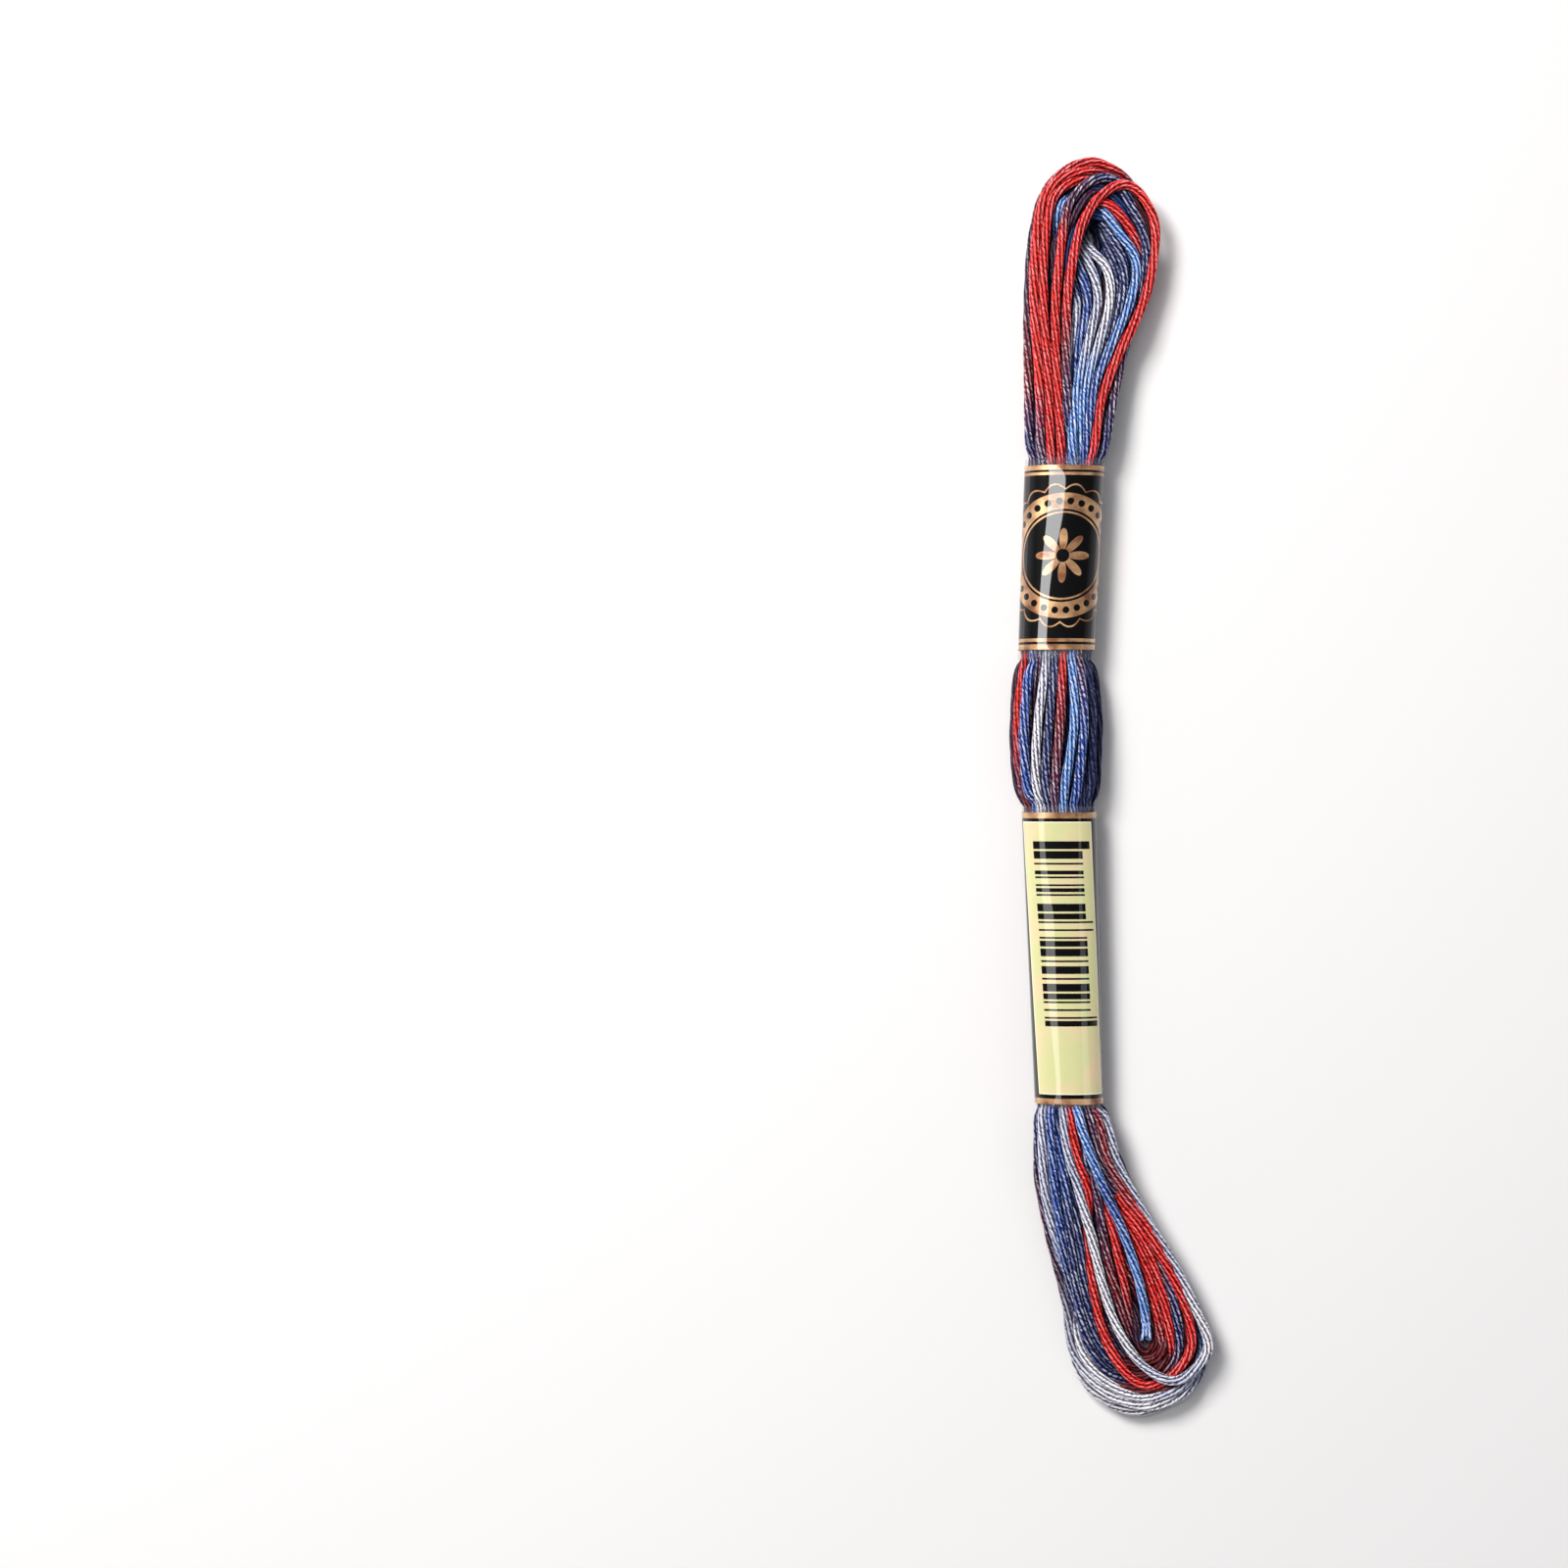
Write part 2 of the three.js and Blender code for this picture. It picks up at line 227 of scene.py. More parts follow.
def tube_piece(name, rings, dye, travelled, material):
    """A closed tube from rings of points: quads between neighbours and a cap at either end, with
    each ring's dye, darkened by painted shade, and its share of painted glint as an attribute,
    and a map of mm along by plies around."""
    count, around, _ = rings.shape
    ring, place = np.meshgrid(np.arange(count - 1), np.arange(around), indexing="ij")
    following = (place + 1) % around
    quads = np.stack([ring * around + place, (ring + 1) * around + place,
                      (ring + 1) * around + following, ring * around + following], axis=-1)
    caps = [list(range(around)), list(range(count * around - 1, (count - 1) * around - 1, -1))]
    mesh = bpy.data.meshes.new(name)
    mesh.from_pydata((rings.reshape(-1, 3) * MM).tolist(), [], quads.reshape(-1, 4).tolist() + caps)
    mesh.polygons.foreach_set("use_smooth", np.append(np.ones(quads.size // 4, bool), [False, False]))
    near, far = travelled[ring], travelled[ring + 1]
    left, right = place / POINTS_A_PLY, (place + 1) / POINTS_A_PLY
    spread = np.stack([near, left, far, left, far, right, near, right], axis=-1).reshape(-1)
    layout = mesh.uv_layers.new(name="along_and_around")
    layout.data.foreach_set("uv", np.append(spread, np.zeros(4 * around)))
    tint = mesh.attributes.new("dye", "FLOAT_COLOR", "POINT")
    tint.data.foreach_set("color", np.repeat(np.asarray(dye), around, axis=0).reshape(-1))
    mesh.materials.append(material)
    piece = bpy.data.objects.new(name, mesh)
    bpy.context.collection.objects.link(piece)
    return piece


class Nodes:
    """Short calls for the nodes of one material: a socket may be given a number or a link."""

    def __init__(self, name):
        self.material = bpy.data.materials.new(name)
        self.material.use_nodes = True
        self.tree = self.material.node_tree
        self.shader = self.tree.nodes["Principled BSDF"]

    def add(self, kind, inputs=(), out=0, **settings):
        made = self.tree.nodes.new(kind)
        for setting, value in settings.items():
            setattr(made, setting, value)
        for place, value in dict(inputs).items():
            self.feed(made.inputs[place], value)
        return made.outputs[out]

    def feed(self, socket, value):
        if isinstance(value, bpy.types.NodeSocket):
            self.tree.links.new(value, socket)
        else:
            socket.default_value = value

    def surface(self, **sockets):
        for name, value in sockets.items():
            self.feed(self.shader.inputs[name.replace("_", " ")], value)

    def axes(self, vector):
        made = self.tree.nodes.new("ShaderNodeSeparateXYZ")
        self.feed(made.inputs[0], vector)
        return made.outputs

    def maths(self, operation, *values):
        return self.add("ShaderNodeMath", dict(enumerate(values)), operation=operation)

    def square(self, value):
        return self.maths("MULTIPLY", value, value)

    def ramp(self, value, low, high, floor=0.0):
        """From the floor at low to 1 at high."""
        return self.add("ShaderNodeMapRange", {"Value": value, 1: low, 2: high, 3: floor})

    def between(self, value, low, high):
        over = self.maths("GREATER_THAN", value, low)
        return self.maths("MULTIPLY", over, self.maths("LESS_THAN", value, high))

    def mix(self, share, first, second, blend="MIX"):
        made = self.tree.nodes.new("ShaderNodeMix")
        made.data_type, made.blend_type = "RGBA", blend
        for name, value in (("Factor", share), ("A", first), ("B", second)):
            socket = [s for s in made.inputs if s.name == name and s.enabled][0]
            self.feed(socket, (*value, 1) if isinstance(value, tuple) else value)
        return [s for s in made.outputs if s.enabled][0]


FLECK_LENGTH = 1.0  # along a ply from one turn of its two threads to the next
FLECK_SLANT = -1.3  # how far a fleck runs on along the ply across its width, in fleck lengths
FLECK_DRIFT = 2.6  # how far flecks stray along the ply, in fleck lengths
PLY_LAG = 0.44  # how far each ply's flecks lie on from its neighbour's, in fleck lengths
GROOVE_PAINTED_SHADE = (0.11, 0.08, 0.12)  # painted shade: share of the dye left in the grooves between flecks
CREST_PAINTED_HIGHLIGHT = (1.3, 1.3, 1.3)  # painted highlight: share of the dye shown on the flecks, brighter than the dye
# The near-white colour of the painted highlight at the flecks' middles.
PAINTED_GLINT_COLOUR = (0.92, 0.93, 1.0)
COTTON_ROUGHNESS = 0.5
COTTON_SHINE = 0.2
# The unprinted margins of the film at the sleeves' mouths, from one y to another: under them the
# painted shade of the gaps between turns is lifted to no less than LIT_UNDER_FILM.
CLEAR_FILM = ((42.9, 44.6), (16.8, 18.8), (-3.9, -2.5), (-43.9, -42.9))
LIT_UNDER_FILM = 0.8


def floss_finish():
    """Mercerised cotton. Each ply's two-thread twist shows as slanting flecks: a fleck's
    brightness is one less the squares of the way across its ply and along its own length, with
    the noise of single fibres. Light and shade are painted into the colour: the dye is darkened
    by painted shade between flecks and, by an ambient occlusion measure, in the gaps between
    turns; it is brightened on the flecks, and a near-white painted highlight lies at their middles."""
    nodes = Nodes("mercerised_cotton")
    dye = nodes.add("ShaderNodeAttribute", attribute_name="dye")
    painted_glint_share = nodes.add("ShaderNodeAttribute", out=3, attribute_name="dye")
    layout = nodes.add("ShaderNodeUVMap", uv_map="along_and_around")
    along, around, _ = nodes.axes(layout)
    ply = nodes.maths("FLOOR", around)
    aside = nodes.maths("SUBTRACT", nodes.maths("FRACT", around), 0.5)
    drift = nodes.add("ShaderNodeTexNoise", {"Vector": layout, "Scale": 0.8, "Detail": 1.0})
    rank = nodes.maths("MULTIPLY_ADD", along, 1 / FLECK_LENGTH, nodes.maths(
        "MULTIPLY_ADD", aside, FLECK_SLANT, nodes.maths(
            "MULTIPLY_ADD", drift, FLECK_DRIFT, nodes.maths("MULTIPLY", ply, PLY_LAG))))
    onward = nodes.maths("SUBTRACT", nodes.maths("FRACT", rank), 0.5)
    spot = nodes.maths("MULTIPLY_ADD", nodes.square(aside), -4.6, nodes.maths(
        "MULTIPLY_ADD", nodes.square(onward), -2.8, 1.0))
    lie = nodes.add("ShaderNodeMapping", {"Vector": layout, "Scale": (0.9, 9.0, 1.0)})
    fibre = nodes.add("ShaderNodeTexNoise", {"Vector": lie, "Scale": 1.0, "Detail": 2.0})
    spot = nodes.maths("ADD", spot, nodes.maths("MULTIPLY_ADD", fibre, 0.7, -0.35))
    # Painted shade in the gaps between turns: an ambient occlusion measure, ramped so that it darkens
    # the dye to a quarter where the floss is most enclosed.
    open_air = nodes.add("ShaderNodeAmbientOcclusion", {"Distance": 1.1 * MM}, out=1, samples=4)
    gap = nodes.ramp(open_air, 0.35, 0.85, 0.25)
    place_y = nodes.axes(nodes.add("ShaderNodeTexCoord", out=3))[1]
    # Under the clear film margins the painted gap shade is lifted.
    for low, high in CLEAR_FILM:
        inside = nodes.between(place_y, low * MM, high * MM)
        gap = nodes.maths("MAXIMUM", gap, nodes.maths("MULTIPLY", inside, LIT_UNDER_FILM))
    # Painted light and shade: the dye is multiplied from its groove share up to its crest share by the
    # fleck's brightness and by the painted gap shade.
    depth = nodes.maths("MULTIPLY", nodes.ramp(spot, 0.12, 0.72), gap)
    dye_painted_lit_and_shaded = nodes.mix(1.0, dye, nodes.mix(depth, GROOVE_PAINTED_SHADE, CREST_PAINTED_HIGHLIGHT), "MULTIPLY")
    # Painted highlight: each fleck's middle is mixed towards near white, by a random amount, less in the
    # gaps, and by the share of painted glint in the dye attribute's alpha.
    number = nodes.maths("MULTIPLY_ADD", ply, 71.0, nodes.maths("FLOOR", rank))
    luck = nodes.add("ShaderNodeTexWhiteNoise", {"W": number}, noise_dimensions="1D")
    painted_glint = nodes.maths("MULTIPLY", nodes.ramp(spot, 0.50, 0.92),
                        nodes.maths("MULTIPLY_ADD", luck, 0.62, 0.16))
    painted_glint = nodes.maths("MULTIPLY", painted_glint, nodes.maths("MULTIPLY", gap, painted_glint_share))
    bump = nodes.add("ShaderNodeBump", {"Height": spot, "Strength": 0.7, "Distance": 0.07 * MM})
    nodes.surface(Base_Color=nodes.mix(painted_glint, dye_painted_lit_and_shaded, PAINTED_GLINT_COLOUR), Normal=bump,
                  Roughness=COTTON_ROUGHNESS, Specular_IOR_Level=COTTON_SHINE)
    return nodes.material


cotton = floss_finish()

END_DYES = {0.0: SKY, 0.25: SKY, 0.45: BLUE, 0.7: SKY, 1.0: SKY}  # by share of its length
TIP_LENGTH = 2.8  # the stretch over which the cut end opens into its plies
TIP_OVERLAP = 1.2  # how far the closed strand runs on among them
TIP_PHASE = 0.4
TIP_OUT = 0.40  # from the strand's middle to a ply's, where the tip starts to open
TIP_STEP = 0.29  # between the middles of neighbouring plies at the cut
TIP_LIFT = 0.14  # of the upper plies over the middle there, and of the lower ones under it
TIP_SIDES = 8
PLY = 0.56

end_points = END_UNDER_SLEEVE + LOOSE_END
end_route = curve_through(end_points, evenly_along(end_points, RING_STEP))
end_travelled = distance_along(end_route)
end_length = end_travelled[-1]
end_shares = np.linspace(0, 1, len(end_route))
end_dye = np.array([np.interp(end_shares, list(END_DYES), column) for column in zip(*END_DYES.values())]
                   + [np.ones(len(end_shares))]).T
closed_part = end_travelled < end_length - TIP_LENGTH + TIP_OVERLAP
open_part = end_travelled > end_length - TIP_LENGTH
rings = plied_rings(end_route[closed_part], STRAND / 2, end_travelled[closed_part])
loose_end = tube_piece("floss_loose_end_strand", rings, end_dye[closed_part],
                       end_travelled[closed_part], cotton)


def tip_ply(number, route):
    """A round ply of the open tip. It starts on a circle round the strand's route, and with the
    square of the share of the tip travelled it moves to its place in two flat rows, in the order
    in which the circle's plies lie from side to side. Each second ply is cut a little shorter."""
    angles = np.arange(PLIES) / PLIES * 2 * math.pi + TIP_PHASE
    level, upright = np.cos(angles), np.sin(angles[number])
    opened = np.linspace(0, 1, len(route))[:, None] ** 2
    beside = sum(level < level[number]) - (PLIES - 1) / 2
    fan = level[number] * TIP_OUT * (1 - opened) + beside * TIP_STEP * opened
    lift = upright * TIP_OUT * (1 - opened) + math.copysign(TIP_LIFT, upright) * opened
    aside = np.cross(unit(np.gradient(route, axis=0)), (0, 0, 1))
    ply_route = route + aside * fan + np.array((0, 0, 1)) * lift
    ply_route[:, 2] = np.maximum(ply_route[:, 2], PLY / 2)
    keep = len(route) - number % 2
    turn = np.arange(TIP_SIDES) / TIP_SIDES * 2 * math.pi
    rings = rings_round(ply_route[:keep], PLY / 2, turn[None])
    return tube_piece(f"floss_tip_ply_{number + 1}", rings, end_dye[open_part][:keep],
                      end_travelled[open_part][:keep], cotton)


tip_pieces = [tip_ply(number, end_route[open_part]) for number in range(PLIES)]
with bpy.context.temp_override(active_object=loose_end, object=loose_end,
                               selected_editable_objects=[loose_end, *tip_pieces],
                               selected_objects=[loose_end, *tip_pieces]):
    bpy.ops.object.join()
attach(loose_end, "root")
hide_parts("floss_loose_end")


# ---------------------------------------------------------------------------------------------
# The hank: one strand wound 25 times round, its dye running from silver through blue, navy and
# plum to scarlet and back. Each turn climbs the right pass, rounds the upper loop, comes down
# the left pass and rounds the lower loop. Sleeves and its own tension hold it.
# ---------------------------------------------------------------------------------------------
# Sections of the hank, in the order in which a turn passes them, and of the bound stretch from
# top to foot: outer (or left) and inner (or right) point (x, y), then lowest and highest z.
BOUND_STRETCH = np.array([
    (-9.4, 47.2, -3.2, 47.2, 1.6, 4.6), (-11.3, 44.0, -1.5, 44.0, 0.6, 6.0),
    (-12.0, 30.0, -2.1, 30.0, 0.6, 6.0), (-12.4, 17.4, -2.8, 17.4, 0.6, 6.0),
    (-13.2, 15.4, -2.1, 15.4, 0.1, 6.6), (-13.5, 11.5, -1.8, 11.5, -0.2, 6.9),
    (-13.5, 7.0, -1.8, 7.0, -0.2, 6.9), (-13.2, 2.5, -2.0, 2.5, -0.2, 6.8),
    (-12.7, -1.0, -2.2, -1.0, 0.1, 6.4), (-11.8, -3.1, -2.6, -3.1, 0.6, 5.8),
    (-11.0, -23.0, -2.0, -23.0, 0.6, 5.8), (-10.1, -43.0, -1.6, -43.0, 0.6, 5.8),
    (-8.2, -46.3, -3.0, -46.3, 1.6, 4.4),
])
UPPER_LOOP = np.array([
    (-2.9, 40.4, -6.6, 40.4, 1.5, 4.9), (-0.8, 46.0, -6.6, 46.0, 0.2, 5.9),
    (1.0, 54.6, -6.3, 54.4, -0.2, 5.4), (3.3, 60.0, -5.9, 59.6, -0.2, 4.9),
    (5.2, 66.0, -5.0, 65.6, -0.2, 4.6), (6.2, 71.7, -2.6, 70.3, -0.2, 4.5),
    (6.0, 77.0, -1.3, 74.0, -0.2, 4.5), (2.8, 82.6, -1.7, 77.1, -0.2, 4.6),
    (-2.9, 85.5, -3.0, 78.5, -0.2, 4.7), (-8.6, 81.8, -4.2, 76.9, -0.2, 4.9),
    (-10.6, 75.4, -4.6, 73.2, -0.2, 5.1), (-11.1, 66.0, -4.4, 66.0, -0.2, 5.4),
    (-11.4, 55.0, -4.6, 55.0, -0.2, 5.8), (-11.8, 46.0, -5.0, 46.0, 0.2, 6.0),
    (-10.4, 40.4, -5.6, 40.4, 1.5, 4.9),
])
LOWER_LOOP = np.array([
    (-9.2, -39.6, -5.2, -39.6, 1.5, 4.7), (-10.4, -46.0, -4.0, -46.0, 0.2, 5.8),
    (-10.2, -53.9, -1.7, -53.9, -0.2, 5.4), (-8.9, -59.9, 0.4, -59.9, -0.2, 5.0),
    (-6.9, -66.6, 2.2, -66.6, -0.2, 4.6), (-5.5, -72.6, 3.0, -71.9, -0.2, 4.3),
    (-5.3, -77.9, 3.5, -76.2, -0.2, 4.0), (-2.6, -83.0, 4.1, -78.5, -0.2, 3.9),
    (4.1, -85.5, 4.8, -79.4, -0.2, 3.9), (10.6, -82.3, 5.6, -78.5, -0.2, 4.1),
    (13.6, -76.6, 6.0, -75.9, -0.2, 4.3), (12.1, -71.4, 4.1, -70.6, -0.2, 4.5),
    (8.8, -66.0, 1.2, -65.6, -0.2, 4.7), (4.9, -59.6, -1.3, -59.6, -0.2, 5.1),
    (1.8, -53.6, -3.3, -53.6, -0.2, 5.5), (-0.6, -46.4, -5.3, -46.4, 0.2, 5.8),
    (-2.8, -39.6, -6.4, -39.6, 1.5, 4.7),
])

# A turn's course round a loop: section number, share across from its outer to its inner edge,
# height as a share of the section's thickness (over 1 lies on top), and the dye there. The listed
# dyes hold painted shade as well as the strand's own dye: where a turn dives low among the
# others, its dye is listed darker, as crimson, plum and navy.
UPPER_COURSES = {
    "front": [(1, .33, 1, SCARLET), (2, .27, 1, SCARLET), (4, .08, 1, SCARLET),
              (5, .07, 1.05, SCARLET), (6, .02, 1.1, SCARLET), (7, .09, 1.15, SCARLET),
              (7.5, .55, 1.15, SCARLET), (8, .98, 1.1, SCARLET), (9, 1.03, 1.1, SCARLET),
              (10, .92, 1.05, SCARLET), (11, .72, 1, SCARLET), (11.5, .72, 1, CRIMSON),
              (12, .74, 1, PLUM), (13, .86, .95, NAVY)],
    "brow": [(1, .12, .4, NAVY), (2, .12, .3, NAVY), (4, .16, .2, NAVY), (5, .12, .1, NAVY),
             (6, .06, .0, NAVY), (6.6, .04, .1, NAVY), (7, .0, .3, PLUM), (7.5, -.02, .7, SCARLET),
             (8, .04, .85, SCARLET), (9, .0, .8, CRIMSON), (10, .0, .4, PLUM), (11, -.03, .35, PLUM),
             (12, .0, .75, CRIMSON), (13, .07, .75, NAVY)],
    "cheek_outer": [(1, .45, .5, BLUE), (2, .4, .5, BLUE), (4, .3, .4, NAVY), (5, .25, .3, NAVY),
                    (6, .2, .2, NAVY), (7, .25, .35, PLUM), (8, .22, .85, SCARLET),
                    (9, .03, .95, SCARLET), (10, .07, 1, SCARLET), (11, .06, 1, SCARLET),
                    (12, .20, 1, SCARLET), (13, .27, 1, PLUM)],
    "cheek_inner": [(1, .6, .5, SKY), (2, .55, .5, BLUE), (4, .45, .4, NAVY), (5, .4, .3, NAVY),
                    (6, .35, .25, NAVY), (7, .4, .35, PLUM), (8, .37, .85, SCARLET),
                    (9, .18, 1, SCARLET), (10, .22, 1, SCARLET), (11, .24, 1, SCARLET),
                    (12, .37, 1, SCARLET), (13, .49, 1, SCARLET)],
    "arc": [(1, .04, .8, NAVY), (2, .06, .8, PLUM), (4, .2, .7, NAVY), (5, .2, .85, NAVY),
            (6, .27, .95, NAVY), (6.6, .33, .95, NAVY), (7.2, .15, .9, NAVY),
            (7.8, .28, 1, NAVY), (8.2, .42, 1, PLUM), (9, .55, 1, PLUM), (9.5, .6, 1, CRIMSON),
            (10, .61, 1, SCARLET), (11, .5, 1, SCARLET), (12, .55, 1, SCARLET), (13, .69, 1, SCARLET)],
    "ribbon": [(1, .51, 1, BLUE), (2, .475, 1, BLUE), (4, .27, 1, SKY), (5, .295, 1, SKY),
               (6, .68, 1, SKY), (7, .83, 1, SKY), (7.4, .8, .6, BLUE), (8, .72, .2, NAVY),
               (8.6, .5, .5, NAVY), (9, .38, .95, SKY),
               (9.4, .39, .9, SKY), (9.8, .46, .7, BLUE), (10.2, .56, .3, NAVY), (11, .56, .15, NAVY),
               (12, .46, .4, NAVY), (13, .6, .6, NAVY)],
    "inner_red": [(1, .2, .6, PLUM), (2, .2, .55, CRIMSON), (4, .2, .5, CRIMSON),
                  (5, .20, .75, CRIMSON), (6, .47, 1, SCARLET), (7, .64, 1, SCARLET),
                  (8, .75, .75, SCARLET), (9, .8, .35, CRIMSON), (10, .8, .25, PLUM),
                  (11, .7, .2, PLUM), (12, .65, .3, NAVY), (13, .4, .4, NAVY)],
    "inner_navy": [(1, .7, .7, NAVY), (2, .6, .7, NAVY), (4, .39, 1, NAVY), (5, .52, 1, NAVY),
                   (6, .82, .85, NAVY), (7, .82, .5, NAVY), (8, .85, .4, PLUM), (9, .85, .4, PLUM),
                   (10, .85, .4, PLUM), (11, .85, .5, NAVY), (12, .85, .5, NAVY),
                   (13, .8, .5, NAVY)],
    "second_navy": [(1, .8, .55, NAVY), (2, .72, .7, NAVY), (4, .45, .85, NAVY),
                    (5, .63, .85, NAVY), (6, .88, .55, NAVY), (7, .82, .25, NAVY),
                    (8, .8, .25, PLUM), (9, .8, .25, PLUM), (10, .8, .25, NAVY),
                    (11, .8, .3, NAVY), (12, .8, .3, NAVY), (13, .7, .3, NAVY)],
}
# These turns come up the right leg to about section 5 and cross the eye to the left leg's
# sections 9 to 11, where a share over 1 lies inside the inner edge. They go back over the crown
# the other way round, down the right leg's inner side, and cross low to the left leg again.
# The crossing turns' dyes hold painted shade as well: they turn navy and plum where a turn runs low.
CROSSING_COURSES = {
    "silver_right": [(1, .68, 1, SKY), (2, .64, 1, SKY), (3, .57, 1, SILVER), (4, .52, 1, WHITE),
                     (5, .75, .9, WHITE), (10, 1.28, .7, SILVER), (9.6, 1.0, .3, NAVY),
                     (9, .9, .3, NAVY), (8, .8, .25, NAVY), (7, .72, .25, NAVY), (6, .65, .25, NAVY),
                     (5, .6, .3, PLUM), (4, .6, .2, CRIMSON), (12, .85, .2, CRIMSON),
                     (13, .75, .3, PLUM)],
    "silver_left": [(1, .88, 1, SKY), (2, .80, 1, SKY), (3, .74, 1, SILVER), (4, .68, 1, SILVER),
                    (5, 1.0, .85, SILVER), (10, 1.1, .65, SILVER), (9.5, .95, .25, NAVY),
                    (9, .8, .25, NAVY), (8, .65, .2, NAVY), (7, .55, .2, NAVY), (6, .5, .2, NAVY),
                    (5, .5, .3, NAVY), (4, .45, .2, PLUM), (12, .65, .2, PLUM), (13, .6, .3, NAVY)],
    "crossing_blue": [(1, .8, .6, BLUE), (2, .92, .8, BLUE), (3, .87, .95, BLUE),
                      (4, .82, 1, BLUE), (10.6, 1.1, .8, BLUE), (10.2, .92, .6, NAVY),
                      (9.5, .8, .4, NAVY), (9, .65, .3, NAVY), (8, .5, .2, PLUM), (7, .4, .2, PLUM),
                      (6, .35, .2, CRIMSON), (5, .35, .15, CRIMSON), (4, .3, .1, CRIMSON),
                      (12, .45, .1, PLUM), (13, .45, .2, PLUM)],
    "crossing_silver": [(1, .97, .9, WHITE), (2, .98, .85, SILVER), (3, .97, .95, SILVER),
                        (4, .96, 1, SILVER), (11, .97, .85, NAVY), (10.6, .85, .6, NAVY),
                        (10, .7, .4, NAVY), (9, .5, .25, BLUE), (8, .35, .15, SKY),
                        (7, .3, .1, SKY), (6, .25, .1, SILVER), (5, .25, .1, SILVER),
                        (4, .2, .05, SKY), (12, .3, .05, BLUE), (13, .3, .1, NAVY)],
}
